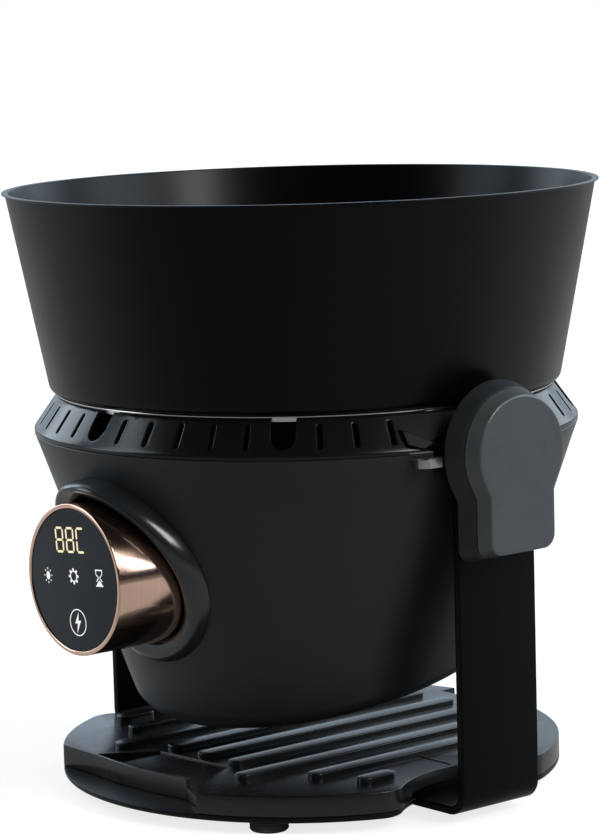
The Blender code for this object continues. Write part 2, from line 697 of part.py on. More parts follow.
def housing(tag, side, look):
    back = STRAP_OUTER_X + GAP
    split = back + HOUSING_BASE_DEPTH
    base = mesh_object("housing_base_" + tag, loft([housing_outline(1.0, 0, back, side),
                                                    housing_outline(SPLIT_SHARE, 0, split, side)]))
    cut(base, loft([housing_outline(1.0, HOUSING_WALL, back + HOUSING_BACK, side),
                    housing_outline(SPLIT_SHARE, HOUSING_WALL, split + HOUSING_BACK, side)]))
    cut(base, rod((side * (back - OVERRUN), 0, PIVOT_HEIGHT), (side * (back + OVERRUN), 0, PIVOT_HEIGHT),
                  NUT_HUB_RADIUS + GAP, SMALL_STEPS))
    if side > 0:
        cut(base, lever_slot())
    finish(base, look)
    start = split + GAP
    face = start + HOUSING_CAP_DEPTH
    cap = mesh_object("housing_cap_" + tag, loft([
        housing_outline(SPLIT_SHARE, 0, start, side),
        housing_outline(FACE_SHARE, 0, face - HOUSING_CAP_EDGE, side),
        housing_outline(RIM_SHARE, 0, face, side)]))
    cut(cap, loft([housing_outline(SPLIT_SHARE, HOUSING_WALL, start - HOUSING_BACK, side),
                   housing_outline(FACE_SHARE, HOUSING_WALL, face - HOUSING_WALL, side)]))
    finish(cap, look)


# Lock lever

def swept_x(y):
    return math.sqrt(SHELL_RIM_RADIUS ** 2 - y ** 2) + LEVER_CLEARANCE


def lever_plan(lip):
    tip = LEVER_TIP_Y - lip
    return [(swept_x(tip), tip), (LEVER_OUTER_X - LEVER_BLOCK, tip), (LEVER_OUTER_X, tip + LEVER_BLOCK),
            (LEVER_OUTER_X, LEVER_NECK_REAR_Y), (swept_x(LEVER_NECK_REAR_Y), LEVER_NECK_REAR_Y),
            (swept_x(-HOUSING_ROUND), -HOUSING_ROUND)]


def lock_lever(look, parent):
    end_x = LEVER_RING_X + LEVER_THICK
    ring = along_x(sleeve(NUT_HUB_RADIUS + GAP, LEVER_RING_RADIUS, LEVER_THICK), 1, LEVER_RING_X)
    lever = mesh_object("lock_lever", ring)
    middle = LEVER_TOP - LEVER_PLATE
    join(lever, box((LEVER_RING_X, LEVER_NECK_FRONT_Y, LEVER_BOTTOM),
                    (end_x, -NUT_HUB_RADIUS - LEVER_THICK, LEVER_TOP)))
    join(lever, box((LEVER_OUTER_X - LEVER_THICK, LEVER_NECK_FRONT_Y, LEVER_BOTTOM),
                    (end_x - LEVER_THICK / 2, LEVER_NECK_REAR_Y, LEVER_TOP)))
    join(lever, loft(upright(lever_plan(0), LEVER_BOTTOM, middle + WELD)))
    join(lever, loft(upright(lever_plan(LEVER_PLATE_LIP), middle, LEVER_TOP)))
    return finish(lever, look, parent)


# Head shell with its tilted bottom

def cone_radius(z):
    return SHELL_RIM_RADIUS - SHELL_SLOPE * (PIVOT_HEIGHT - z)


def bottom_frame():
    centre = (0, BOTTOM_CENTRE_Y, BOTTOM_HEIGHT + BOTTOM_CENTRE_Y * math.tan(BOTTOM_TILT))
    return Matrix.Translation(centre) @ Matrix.Rotation(BOTTOM_TILT, 4, "X")


def cone_block(inset, top):
    level_inset = inset / math.cos(math.atan(SHELL_SLOPE))
    low = BOTTOM_HEIGHT - SHELL_RIM_RADIUS / 2
    profile = [(0, top), (cone_radius(top) - level_inset, top),
               (cone_radius(low) - level_inset, low), (0, low)]
    shape = turned(profile, ROUND_STEPS, False)
    bmesh.ops.remove_doubles(shape, verts=shape.verts, dist=WELD)
    frame = bottom_frame()
    upward = (frame.to_3x3() @ Vector((0, 0, 1))).normalized()
    through = frame.translation + upward * inset
    everything = shape.verts[:] + shape.edges[:] + shape.faces[:]
    bmesh.ops.bisect_plane(shape, geom=everything, plane_co=through, plane_no=-upward,
                           clear_outer=True, dist=WELD)
    rim = [edge for edge in shape.edges if edge.is_boundary]
    bmesh.ops.contextual_create(shape, geom=rim)
    bmesh.ops.bevel(shape, geom=rim, offset=BOTTOM_FILLET - inset, segments=BOTTOM_FILLET_STEPS,
                    profile=0.5, affect="EDGES", offset_type="OFFSET")
    return shape


def boss_drum(radius, inner_x, outer_x):
    shape = bmesh.new()
    for side in (-1, 1):
        add_rod(shape, (side * inner_x, 0, PIVOT_HEIGHT), (side * outer_x, 0, PIVOT_HEIGHT),
                radius, ROUND_STEPS)
    return shape


def trimmed_drum(low, high):
    inner_x = BOSS_FACE_X - BOSS_RECESS - BOSS_BACK
    drum = mesh_object("drum", boss_drum(BOSS_RADIUS, inner_x, BOSS_FACE_X + BOSS_RELIEF))
    reach = SHELL_RIM_RADIUS + OVERRUN
    combine(drum, box((-reach, -reach, low), (reach, reach, high)), "INTERSECT")
    shape = bmesh.new()
    shape.from_mesh(drum.data)
    bpy.data.objects.remove(drum, do_unlink=True)
    return shape


def bottom_bores(shape, radius, low, high, places, steps):
    frame = bottom_frame()
    for x, y in places:
        add_rod(shape, frame @ Vector((x, y, low)), frame @ Vector((x, y, high)), radius, steps)


def cover_screw_places():
    reach = COVER_RADIUS - COVER_LEDGE / 2
    turns = [math.tau * (i + 0.5) / COVER_SCREW_COUNT for i in range(COVER_SCREW_COUNT)]
    return [(reach * math.cos(a), reach * math.sin(a)) for a in turns]


def lower_shell(look, parent):
    solver = "MANIFOLD"
    shell = mesh_object("lower_shell", cone_block(0, PIVOT_HEIGHT))
    cut(shell, cone_block(SHELL_WALL, PIVOT_HEIGHT + OVERRUN), solver)
    join(shell, trimmed_drum(PIVOT_HEIGHT - BOSS_RADIUS - OVERRUN, PIVOT_HEIGHT - GAP), solver)
    cut(shell, boss_drum(BOSS_RADIUS + BOSS_RELIEF, BOSS_FACE_X, SHELL_RIM_RADIUS + OVERRUN), solver)
    cut(shell, boss_drum(BOSS_RECESS_RADIUS, BOSS_FACE_X - BOSS_RECESS, SHELL_RIM_RADIUS + OVERRUN), solver)
    cut(shell, boss_drum(SHAFT_RADIUS + GAP, SHAFT_INNER_X, SHELL_RIM_RADIUS), solver)
    cut(shell, rod((0, -SHELL_RIM_RADIUS - OVERRUN, KNOB_HEIGHT), (0, -SHELL_RIM_RADIUS / 2, KNOB_HEIGHT),
                   GROOVE_RADIUS, MEDIUM_STEPS), solver)
    seat, hole, screws = bmesh.new(), bmesh.new(), bmesh.new()
    bottom_bores(seat, COVER_RADIUS + GAP, -OVERRUN, COVER_THICK + GAP, [(0, 0)], MEDIUM_STEPS)
    bottom_bores(hole, COVER_RADIUS - COVER_LEDGE, -OVERRUN, SHELL_WALL + OVERRUN, [(0, 0)], MEDIUM_STEPS)
    bottom_bores(screws, SCREW_RADIUS + GAP, -OVERRUN, SHELL_WALL + OVERRUN, cover_screw_places(), SCREW_STEPS)
    for tool in (seat, hole, screws):
        cut(shell, tool, solver)
    inlet = inlet_box(GAP, SHELL_RIM_RADIUS / 2, SHELL_RIM_RADIUS + OVERRUN)
    cut(shell, inlet, solver)
    return finish(shell, look, parent)


def bottom_cover(look, parent):
    frame = bottom_frame()
    disc = bmesh.new()
    add_rod(disc, frame @ Vector((0, 0, 0)), frame @ Vector((0, 0, COVER_THICK)), COVER_RADIUS, MEDIUM_STEPS)
    cover = mesh_object("bottom_cover", disc)
    slots = bmesh.new()
    for i in range(AIR_SLOT_COUNT):
        turn = frame @ Matrix.Rotation(math.tau * i / AIR_SLOT_COUNT, 4, "Z")
        outline = stadium(0, AIR_SLOT_WIDTH / 2, AIR_SLOT_INNER, AIR_SLOT_OUTER, 4)
        levels = (-OVERRUN, COVER_THICK + OVERRUN)
        add_loft(slots, [[turn @ Vector((x, y, z)) for x, y in outline] for z in levels])
    bottom_bores(slots, SCREW_RADIUS + GAP, -OVERRUN, COVER_THICK + OVERRUN, cover_screw_places(), SCREW_STEPS)
    cut(cover, slots)
    return finish(cover, look, parent)


def cover_screws(look, parent):
    frame = bottom_frame()
    for i, (x, y) in enumerate(cover_screw_places()):
        shape = screw_shape(-GAP - SCREW_HEAD_THICK, -GAP, COVER_SCREW_LENGTH)
        moved(shape, frame @ Matrix.Translation((x, y, 0)))
        finish(mesh_object(f"cover_screw_{i + 1}", shape), look, parent)


# Vent ring and trim ring

def ring_points(inset):
    top = RING_TOP
    return [(SHELL_RIM_RADIUS - inset, RING_BOTTOM), (SHELL_RIM_RADIUS - inset, RING_BOTTOM + RING_BAND),
            (RING_TOP_RADIUS - inset, top)]


def vent_ring(look, parent):
    outer = ring_points(0)
    inner_top = RING_TOP_RADIUS - RING_LIP
    lip_foot = RING_TOP - RING_WALL
    profile = outer[::-1] + [(SHELL_RIM_RADIUS - RING_WALL, RING_BOTTOM)]
    profile += [(SHELL_RIM_RADIUS - RING_WALL, RING_BOTTOM + RING_BAND - GAP)]
    profile += [(inner_top, lip_foot), (inner_top, RING_TOP)]
    ring = mesh_object("vent_ring", turned(profile, ROUND_STEPS, True))
    middle = RING_WALL / 2
    envelope = [(0, RING_TOP - middle)] + [(r, min(z, RING_TOP - middle)) for r, z in ring_points(middle)[::-1]]
    envelope += [(0, RING_BOTTOM)]
    drum = mesh_object("ring_drum", trimmed_drum(RING_BOTTOM + GAP, RING_TOP))
    combine(drum, turned(envelope, ROUND_STEPS, False), "INTERSECT")
    shape = bmesh.new()
    shape.from_mesh(drum.data)
    bpy.data.objects.remove(drum, do_unlink=True)
    join(ring, shape)
    cut(ring, boss_drum(BOSS_RADIUS + BOSS_RELIEF, BOSS_FACE_X, SHELL_RIM_RADIUS + OVERRUN))
    cut(ring, boss_drum(BOSS_RECESS_RADIUS, BOSS_FACE_X - BOSS_RECESS, SHELL_RIM_RADIUS + OVERRUN))
    cut(ring, boss_drum(SHAFT_RADIUS + GAP, SHAFT_INNER_X, SHELL_RIM_RADIUS))
    cut(ring, vent_tool())
    return finish(ring, look, parent)


def near_pivot(turn):
    return abs(math.sin(turn)) < (BOSS_RADIUS + SLOT_MARGIN) / SHELL_RIM_RADIUS


def vent_tool():
    shape = bmesh.new()
    count = NOTCH_COUNT * (SLOTS_BETWEEN + 1)
    reach = (RING_TOP_RADIUS - RING_LIP - OVERRUN, SHELL_RIM_RADIUS + OVERRUN)
    low = RING_BOTTOM + NOTCH_FOOT
    notch = arc((0, low + NOTCH_WIDTH / 2), NOTCH_WIDTH / 2, math.pi, math.tau, 8)
    notch += [(NOTCH_WIDTH / 2, RING_TOP + OVERRUN), (-NOTCH_WIDTH / 2, RING_TOP + OVERRUN)]
    slot = stadium(0, SLOT_WIDTH / 2, low, low + SLOT_HEIGHT, 2)
    for i in range(count):
        turn = math.tau * i / count
        if near_pivot(turn):
            continue
        outline = slot if i % (SLOTS_BETWEEN + 1) else notch
        spin = Matrix.Rotation(turn, 4, "Z")
        add_loft(shape, [[spin @ Vector((r, y, z)) for y, z in outline] for r in reach])
    return shape


def trim_ring(look, parent):
    skirt_foot = TRIM_BOTTOM - TRIM_SKIRT_DEPTH
    profile = [(TRIM_OUTER_RADIUS, TRIM_TOP), (TRIM_OUTER_RADIUS, TRIM_BOTTOM)]
    profile += [(TRIM_SKIRT_RADIUS, TRIM_BOTTOM), (TRIM_SKIRT_RADIUS, skirt_foot)]
    profile += [(TRIM_SKIRT_RADIUS - TRIM_THICK, skirt_foot), (TRIM_SKIRT_RADIUS - TRIM_THICK, TRIM_BOTTOM)]
    profile += [(TRIM_INNER_RADIUS, TRIM_BOTTOM), (TRIM_INNER_RADIUS, TRIM_TOP)]
    return finish(mesh_object("trim_ring", turned(profile, ROUND_STEPS, True)), look, parent)


# Heater parts inside the head

def heat_dish(look, parent):
    wall = DISH_WALL
    profile = [(DISH_FLANGE_RADIUS, DISH_TOP), (DISH_FLANGE_RADIUS, DISH_TOP - wall), (DISH_RADIUS, DISH_TOP - wall)]
    profile += [(DISH_FLOOR_RADIUS, DISH_FLOOR - wall), (0, DISH_FLOOR - wall)]
    inner = [(0, DISH_FLOOR), (DISH_FLOOR_RADIUS - wall, DISH_FLOOR), (DISH_RADIUS - wall, DISH_TOP)]
    dish = mesh_object("heat_dish", turned(inner + profile, MEDIUM_STEPS, False))
    cut(dish, element_holes(DISH_FLOOR - wall - OVERRUN, DISH_FLOOR + OVERRUN))
    return finish(dish, look, parent)


def element_path():
    points = []
    for i in range(ELEMENT_POINTS + 1):
        share = i / ELEMENT_POINTS
        turn = math.tau * ELEMENT_TURNS * share
        radius = ELEMENT_INNER + (ELEMENT_OUTER - ELEMENT_INNER) * share
        points.append((radius * math.cos(turn), radius * math.sin(turn), ELEMENT_HEIGHT))
    for index in (0, -1):
        x, y, z = points[index]
        along = Vector((-y, x, 0)).normalized() * (-1 if index == 0 else 1)
        bend = ELEMENT_TUBE * ELEMENT_BEND_SHARE
        tail = []
        for degrees in (30.0, 60.0, 90.0):
            turn = math.radians(degrees)
            place = Vector((x, y, z)) + along * bend * math.sin(turn)
            tail.append((place.x, place.y, z - bend * (1 - math.cos(turn))))
        last = tail[-1]
        tail.append((last[0], last[1], z - ELEMENT_TAIL))
        points = tail[::-1] + points if index == 0 else points + tail
    return points


def element_holes(low, high):
    shape = bmesh.new()
    path = element_path()
    for x, y, z in (path[0], path[-1]):
        add_rod(shape, (x, y, low), (x, y, high), ELEMENT_TUBE + 2 * GAP, SCREW_STEPS)
    return shape


def heating_element(look, parent):
    path = element_path()
    curve = bpy.data.curves.new("heating_element", "CURVE")
    curve.dimensions = "3D"
    curve.bevel_depth = ELEMENT_TUBE
    curve.bevel_resolution = 1
    curve.use_fill_caps = True
    line = curve.splines.new("POLY")
    line.points.add(len(path) - 1)
    for point, place in zip(line.points, path):
        point.co = (*place, 1.0)
    tube = bpy.data.objects.new("tube", curve)
    bpy.context.scene.collection.objects.link(tube)
    graph = bpy.context.evaluated_depsgraph_get()
    shape = bmesh.new()
    shape.from_mesh(bpy.data.meshes.new_from_object(tube.evaluated_get(graph)))
    bpy.data.objects.remove(tube, do_unlink=True)
    return finish(mesh_object("heating_element", shape), look, parent)


def element_clips(look, parent):
    top = ELEMENT_HEIGHT - ELEMENT_TUBE - GAP
    for i in range(CLIP_COUNT):
        shape = box((ELEMENT_INNER, -CLIP_WIDTH / 2, DISH_FLOOR + GAP), (ELEMENT_OUTER, CLIP_WIDTH / 2, top))
        moved(shape, Matrix.Rotation(math.tau * (i + 0.25) / CLIP_COUNT, 4, "Z"))
        finish(mesh_object(f"element_clip_{i + 1}", shape), look, parent)


def insulation_pad(look, parent):
    pad = mesh_object("insulation_pad", rod((0, 0, PAD_TOP - PAD_THICK), (0, 0, PAD_TOP), PAD_RADIUS, MEDIUM_STEPS))
    holes = element_holes(PAD_TOP - PAD_THICK - OVERRUN, PAD_TOP + OVERRUN)
    add_rod(holes, (THERMOSTAT_X, 0, PAD_TOP - PAD_THICK - OVERRUN), (THERMOSTAT_X, 0, PAD_TOP + OVERRUN),
            THERMOSTAT_RADIUS + GAP, SMALL_STEPS)
    cut(pad, holes)
    return finish(pad, look, parent)


def thermostat(look, parent):
    top = PAD_TOP
    piece = mesh_object("thermostat", rod((THERMOSTAT_X, 0, top - THERMOSTAT_HEIGHT),
                                          (THERMOSTAT_X, 0, top), THERMOSTAT_RADIUS, SMALL_STEPS))
    return finish(piece, look, parent)


def motor_bracket(look, parent):
    low = BRACKET_TOP - BRACKET_THICK
    bracket = mesh_object("motor_bracket", rod((0, 0, low), (0, 0, BRACKET_TOP), BRACKET_HUB, SMALL_STEPS))
    wall = SHELL_WALL / math.cos(math.atan(SHELL_SLOPE))
    reach = (cone_radius(low) - wall - 2 * GAP) * math.cos(math.pi / ROUND_STEPS)
    for i in range(2):
        arm = bmesh.new()
        add_box(arm, (-reach, -BRACKET_ARM / 2, low), (reach, BRACKET_ARM / 2, BRACKET_TOP))
        moved(arm, Matrix.Rotation(math.radians(45.0 + 90.0 * i), 4, "Z"))
        join(bracket, arm)
    limit = turned([(0, BRACKET_TOP + OVERRUN), (reach, BRACKET_TOP + OVERRUN), (reach, low - OVERRUN),
                    (0, low - OVERRUN)], ROUND_STEPS, False)
    combine(bracket, limit, "INTERSECT")
    return finish(bracket, look, parent)


def fan_motor(look, parent):
    end = MOTOR_TOP - MOTOR_LENGTH
    profile = [(0, MOTOR_TOP), (MOTOR_RADIUS, MOTOR_TOP), (MOTOR_RADIUS, end), (MOTOR_SHAFT_RADIUS, end)]
    profile += [(MOTOR_SHAFT_RADIUS, end - MOTOR_SHAFT_LENGTH), (0, end - MOTOR_SHAFT_LENGTH)]
    return finish(mesh_object("fan_motor", turned(profile, SMALL_STEPS, False)), look, parent)


def cooling_fan(look, parent):
    low = FAN_TOP - FAN_HEIGHT
    bore = MOTOR_SHAFT_RADIUS + GAP
    profile = [(FAN_HUB_RADIUS, FAN_TOP), (FAN_HUB_RADIUS, low), (bore, low), (bore, FAN_TOP)]
    fan = mesh_object("cooling_fan", turned(profile, SMALL_STEPS, True))
    middle = (FAN_TOP + low) / 2
    half = (FAN_HEIGHT / 2 - FAN_BLADE_THICK) / math.sin(FAN_PITCH) * FAN_CHORD_SHARE
    for i in range(FAN_BLADES):
        blade = bmesh.new()
        add_box(blade, (FAN_HUB_RADIUS - FAN_BLADE_THICK * 2, -half, -FAN_BLADE_THICK / 2),
                (FAN_RADIUS, half, FAN_BLADE_THICK / 2))
        spin = Matrix.Rotation(math.tau * i / FAN_BLADES, 4, "Z")
        moved(blade, spin @ Matrix.Translation((0, 0, middle)) @ Matrix.Rotation(FAN_PITCH, 4, "X"))
        join(fan, blade)
    cut(fan, rod((0, 0, low - OVERRUN), (0, 0, FAN_TOP + OVERRUN), bore, SMALL_STEPS))
    return finish(fan, look, parent)


# Knob, display, collar and board

def along_knob(shape):
    turn = Matrix.Rotation(math.radians(-90.0), 4, "X")
    return moved(shape, Matrix.Translation((0, 0, KNOB_HEIGHT)) @ turn)


def knob_ring(look, parent):
    inner = KNOB_RADIUS - KNOB_WALL
    face, rear = KNOB_FACE_Y, KNOB_REAR_Y
    profile = [(KNOB_RADIUS, rear), (KNOB_RADIUS, face + KNOB_EDGE), (KNOB_RADIUS - KNOB_EDGE, face)]
    profile += [(inner, face), (inner, rear)]
    ring = mesh_object("knob_ring", along_knob(turned(profile, MEDIUM_STEPS + 8, True)))
    return finish(ring, look, parent)


def display_glass(look, parent):
    radius = KNOB_RADIUS - KNOB_WALL - GAP
    front = KNOB_FACE_Y + GLASS_SET_BACK
    profile = [(0, front + GLASS_THICK), (radius, front + GLASS_THICK), (radius, front), (0, front)]
    return finish(mesh_object("display_glass", along_knob(turned(profile, MEDIUM_STEPS, False))), look, parent)


def knob_core(look, parent):
    radius = KNOB_RADIUS - KNOB_WALL - GAP
    front = KNOB_FACE_Y + GLASS_SET_BACK + GLASS_THICK + GAP
    flange = KNOB_REAR_Y + GAP
    rear = flange + CORE_FLANGE
    profile = [(GROOVE_RADIUS - GAP, rear), (GROOVE_RADIUS - GAP, flange), (radius, flange), (radius, front), (0, front)]
    profile = [(0, front + CORE_WALL), (radius - CORE_WALL, front + CORE_WALL), (radius - CORE_WALL, rear)] + profile
    return finish(mesh_object("knob_core", along_knob(turned(profile, MEDIUM_STEPS, False))), look, parent)


def collar_point(turn, radius, lift):
    x = radius * math.cos(turn)
    z = KNOB_HEIGHT + radius * math.sin(turn)
    return (x, -math.sqrt(cone_radius(z) ** 2 - x ** 2) - lift, z)


def collar(look, parent):
    width = COLLAR_RADIUS - GROOVE_RADIUS
    shape = bmesh.new()
    rings = []
    for i in range(COLLAR_STEPS):
        turn = math.tau * i / COLLAR_STEPS
        rise = COLLAR_RISE + COLLAR_RISE_SWING * math.sin(turn)
        loop = [collar_point(turn, GROOVE_RADIUS + width * across, GAP + rise * lift)
                for across, lift in COLLAR_SECTION_SHARES]
        rings.append([shape.verts.new(point) for point in loop])
    count = len(COLLAR_SECTION_SHARES)
    for near, far in zip(rings, rings[1:] + rings[:1]):
        for k in range(count):
            j = (k + 1) % count
            shape.faces.new((near[k], near[j], far[j], far[k]))
    return finish(mesh_object("collar", shape), look, parent)


def control_board(look, parent):
    front = KNOB_REAR_Y + GAP + CORE_FLANGE + GAP + BOARD_POST
    low, high = KNOB_HEIGHT - BOARD_HEIGHT / 2, KNOB_HEIGHT + BOARD_HEIGHT / 2
    half = BOARD_WIDTH / 2
    board = mesh_object("control_board", box((-half, front, low), (half, front + BOARD_THICK, high)))
    extras = bmesh.new()
    reach = GROOVE_RADIUS - BOARD_POST
    for side in (-1, 1):
        add_rod(extras, (side * reach, front + BOARD_THICK / 2, KNOB_HEIGHT), (side * reach, front - BOARD_POST, KNOB_HEIGHT),
                BOARD_POST / 2, SCREW_STEPS)
        x = side * BOARD_WIDTH / 4
        add_box(extras, (x - CHIP_SIZE / 2, front + BOARD_THICK / 2, KNOB_HEIGHT - CHIP_SIZE / 2),
                (x + CHIP_SIZE / 2, front + BOARD_THICK + CHIP_HEIGHT, KNOB_HEIGHT + CHIP_SIZE / 2))
    join(board, extras)
    return finish(board, look, parent)


# Keeper over the lever

def keeper(look, parent):
    low = RING_BOTTOM + GAP
    tongue_y, tongue_z = KEEPER_REAR_Y - KEEPER_TONGUE, low - KEEPER_TONGUE_DROP - GAP
    outline = [(KEEPER_FRONT_Y, low + KEEPER_UNDERCUT), (KEEPER_FRONT_Y, low + KEEPER_TALL),
               (KEEPER_REAR_Y, low + KEEPER_SHORT), (KEEPER_REAR_Y, tongue_z),
               (tongue_y, tongue_z), (tongue_y, low)]
    inner, outer = RING_TOP_RADIUS - RING_LIP - KEEPER_TALL, KEEPER_OUTER_X
    piece = mesh_object("keeper", loft([[(x, y, z) for y, z in outline] for x in (inner, outer)]))
    proud = [(0, RING_TOP + OVERRUN)] + [(r + KEEPER_PROUD, z) for r, z in ring_points(0)[::-1]]
    proud[1] = (proud[1][0], RING_TOP + OVERRUN)
    proud += [(SHELL_RIM_RADIUS + KEEPER_PROUD, PIVOT_HEIGHT - OVERRUN), (0, PIVOT_HEIGHT - OVERRUN)]
    combine(piece, turned(proud, ROUND_STEPS, False), "INTERSECT")
    seat = [(0, RING_TOP + GAP)] + [(r + GAP, z) for r, z in ring_points(0)[::-1]]
    seat += [(SHELL_RIM_RADIUS + GAP, PIVOT_HEIGHT - OVERRUN), (0, PIVOT_HEIGHT - OVERRUN)]
    body = mesh_object("seat", turned(seat, ROUND_STEPS, False))
    cut(body, boss_drum(BOSS_RADIUS + BOSS_RELIEF - GAP, BOSS_FACE_X + GAP, SHELL_RIM_RADIUS + OVERRUN))
    shape = bmesh.new()
    shape.from_mesh(body.data)
    bpy.data.objects.remove(body, do_unlink=True)
    cut(piece, shape)
    return finish(piece, look, parent)


# Power inlet at the rear

def inlet_box(clearance, near, far):
    half, tall = INLET_HALF_WIDTH + clearance, INLET_HALF_HEIGHT + clearance
    return box((-half, near, INLET_HEIGHT - tall), (half, far, INLET_HEIGHT + tall))


def power_inlet(look, parent):
    face = cone_radius(INLET_HEIGHT + INLET_HALF_HEIGHT) + INLET_PROUD
    inlet = mesh_object("power_inlet", inlet_box(0, face - INLET_DEPTH, face))
    cut(inlet, inlet_box(-INLET_WALL, face - INLET_DEPTH + INLET_WALL, face + OVERRUN))
    pins = bmesh.new()
    for x in (-INLET_HALF_WIDTH / 3, INLET_HALF_WIDTH / 3):
        add_rod(pins, (x, face - INLET_DEPTH + INLET_WALL / 2, INLET_HEIGHT), (x, face - INLET_PIN_SET_BACK, INLET_HEIGHT),
                INLET_PIN, SCREW_STEPS)
    join(inlet, pins)
    return finish(inlet, look, parent)


# Pot

def pot(look, parent):
    wall_low, wall_high = POT_BOTTOM + POT_CORNER, POT_TOP - POT_LIP_THICK
    rim = POT_RIM_RADIUS - POT_LIP
    foot = POT_FOOT_RADIUS
    outer = [(0, POT_BOTTOM - PLUG_DEPTH), (PLUG_RADIUS - PLUG_DEPTH, POT_BOTTOM - PLUG_DEPTH)]
    outer += [(PLUG_RADIUS, POT_BOTTOM), (foot - POT_CORNER, POT_BOTTOM)]
    corner = math.sin(math.radians(45.0))
    outer += [(foot - POT_CORNER * (1 - corner), POT_BOTTOM + POT_CORNER * (1 - corner)), (foot, wall_low)]
    outer += [(rim, wall_high), (POT_RIM_RADIUS, wall_high), (POT_RIM_RADIUS, POT_TOP)]
    inner = [(rim - POT_WALL, POT_TOP), (foot - POT_WALL, wall_low + POT_WALL)]
    inner += [(foot - POT_WALL - POT_CORNER * (1 - corner), POT_BOTTOM + POT_FLOOR + POT_CORNER * (1 - corner))]
    inner += [(foot - POT_CORNER - POT_WALL, POT_BOTTOM + POT_FLOOR), (0, POT_BOTTOM + POT_FLOOR)]
    return finish(mesh_object("pot", turned(outer + inner, ROUND_STEPS, False)), look, parent)


# Assembly

def looks_by_name():
    charcoal = (0.022, 0.024, 0.026)
    return {
        "shell": material("shell_black", charcoal, 0.42),
        "ring": material("ring_black", (0.018, 0.019, 0.021), 0.28),
        "pot": material("pot_black", (0.016, 0.016, 0.018), 0.5),
        "plate": material("grill_coating", (0.07, 0.078, 0.088), 0.38, 0.3),
        "base": material("base_coating", (0.03, 0.033, 0.037), 0.42),
        "arm": material("arm_black", charcoal, 0.4),
        "cap": material("cap_grey", (0.06, 0.064, 0.07), 0.45),
        "copper": material("copper", (0.78, 0.45, 0.32), 0.2, 1.0),
        "chrome": material("chrome", (0.8, 0.8, 0.8), 0.12, 1.0),
        "steel": material("steel", (0.55, 0.56, 0.58), 0.35, 1.0),
        "brass": material("brass", (0.7, 0.5, 0.25), 0.35, 1.0),
        "glass": material("display_glass", (0.02, 0.022, 0.026), 0.08),
        "rubber": material("rubber", (0.02, 0.02, 0.02), 0.8),
        "nylon": material("nylon", (0.12, 0.12, 0.12), 0.6),
        "dish": material("dish_steel", (0.6, 0.6, 0.6), 0.3, 1.0),
        "element": material("element_steel", (0.22, 0.21, 0.2), 0.45, 1.0),
        "pad": material("insulation", (0.75, 0.73, 0.68), 0.9),
        "board": material("circuit_board", (0.02, 0.16, 0.08), 0.5),
        "motor": material("motor_can", (0.4, 0.4, 0.42), 0.35, 1.0),
        "plastic": material("inner_plastic", (0.05, 0.05, 0.05), 0.55),
    }


def build_stand(looks):
    base_disc(looks["base"])
    rubber_feet(looks["rubber"])
    strap_screws(looks["steel"])
    for tag, side in (("right", 1), ("left", -1)):
        strap("strap_" + tag, side, looks["arm"])
        housing(tag, side, looks["cap"])


def build_head(looks, head):
    lower_shell(looks["shell"], head)
    bottom_cover(looks["shell"], head)
    cover_screws(looks["steel"], head)
    vent_ring(looks["ring"], head)
    trim_ring(looks["chrome"], head)
    heat_dish(looks["dish"], head)
    heating_element(looks["element"], head)
    element_clips(looks["steel"], head)
    insulation_pad(looks["pad"], head)
    thermostat(looks["motor"], head)
    motor_bracket(looks["steel"], head)
    fan_motor(looks["motor"], head)
    knob_core(looks["plastic"], head)
    display_glass(looks["glass"], head)
    collar(looks["shell"], head)
    control_board(looks["board"], head)
    keeper(looks["shell"], head)
    power_inlet(looks["plastic"], head)
    for tag, side in (("right", 1), ("left", -1)):
        pivot_parts(tag, side, looks, head)


def build_moving(looks):
    grill_plate(looks["plate"], axis_empty("grill_axis", (0, 0, PLATE_BOTTOM)))
    lever_line = axis_empty("lever_axis", (LEVER_RING_X, 0, PIVOT_HEIGHT))
    lock_lever(looks["chrome"], lever_line)
    knob_line = axis_empty("knob_axis", (0, KNOB_FACE_Y, KNOB_HEIGHT))
    knob_ring(looks["copper"], knob_line)
    cooling_fan(looks["plastic"], axis_empty("fan_axis", (0, 0, FAN_TOP)))
    pot(looks["pot"], axis_empty("pot_axis", (0, 0, POT_BOTTOM)))


def main():
    clear_scene()
    looks = looks_by_name()
    build_stand(looks)
    build_head(looks, axis_empty("head_axis", (0, 0, PIVOT_HEIGHT)))
    build_moving(looks)


main()
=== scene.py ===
import math
import bpy
import bmesh
import numpy as np
from mathutils import Matrix, Vector


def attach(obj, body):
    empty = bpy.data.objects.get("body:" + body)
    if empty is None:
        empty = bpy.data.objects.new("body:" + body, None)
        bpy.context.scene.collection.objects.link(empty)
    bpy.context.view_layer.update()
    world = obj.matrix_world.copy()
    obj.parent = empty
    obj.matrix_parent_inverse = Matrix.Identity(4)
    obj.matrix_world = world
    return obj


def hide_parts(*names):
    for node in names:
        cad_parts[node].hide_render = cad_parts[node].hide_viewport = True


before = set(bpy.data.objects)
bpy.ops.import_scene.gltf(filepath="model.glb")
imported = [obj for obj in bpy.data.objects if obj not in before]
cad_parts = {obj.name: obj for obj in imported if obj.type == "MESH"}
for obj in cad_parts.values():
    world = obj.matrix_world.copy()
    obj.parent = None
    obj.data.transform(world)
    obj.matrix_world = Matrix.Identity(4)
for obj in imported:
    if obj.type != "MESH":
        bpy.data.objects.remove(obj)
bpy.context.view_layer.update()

mm = 0.001
print("frame loaded:", len(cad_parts), "nodes")


# Grids, profiles and outlines

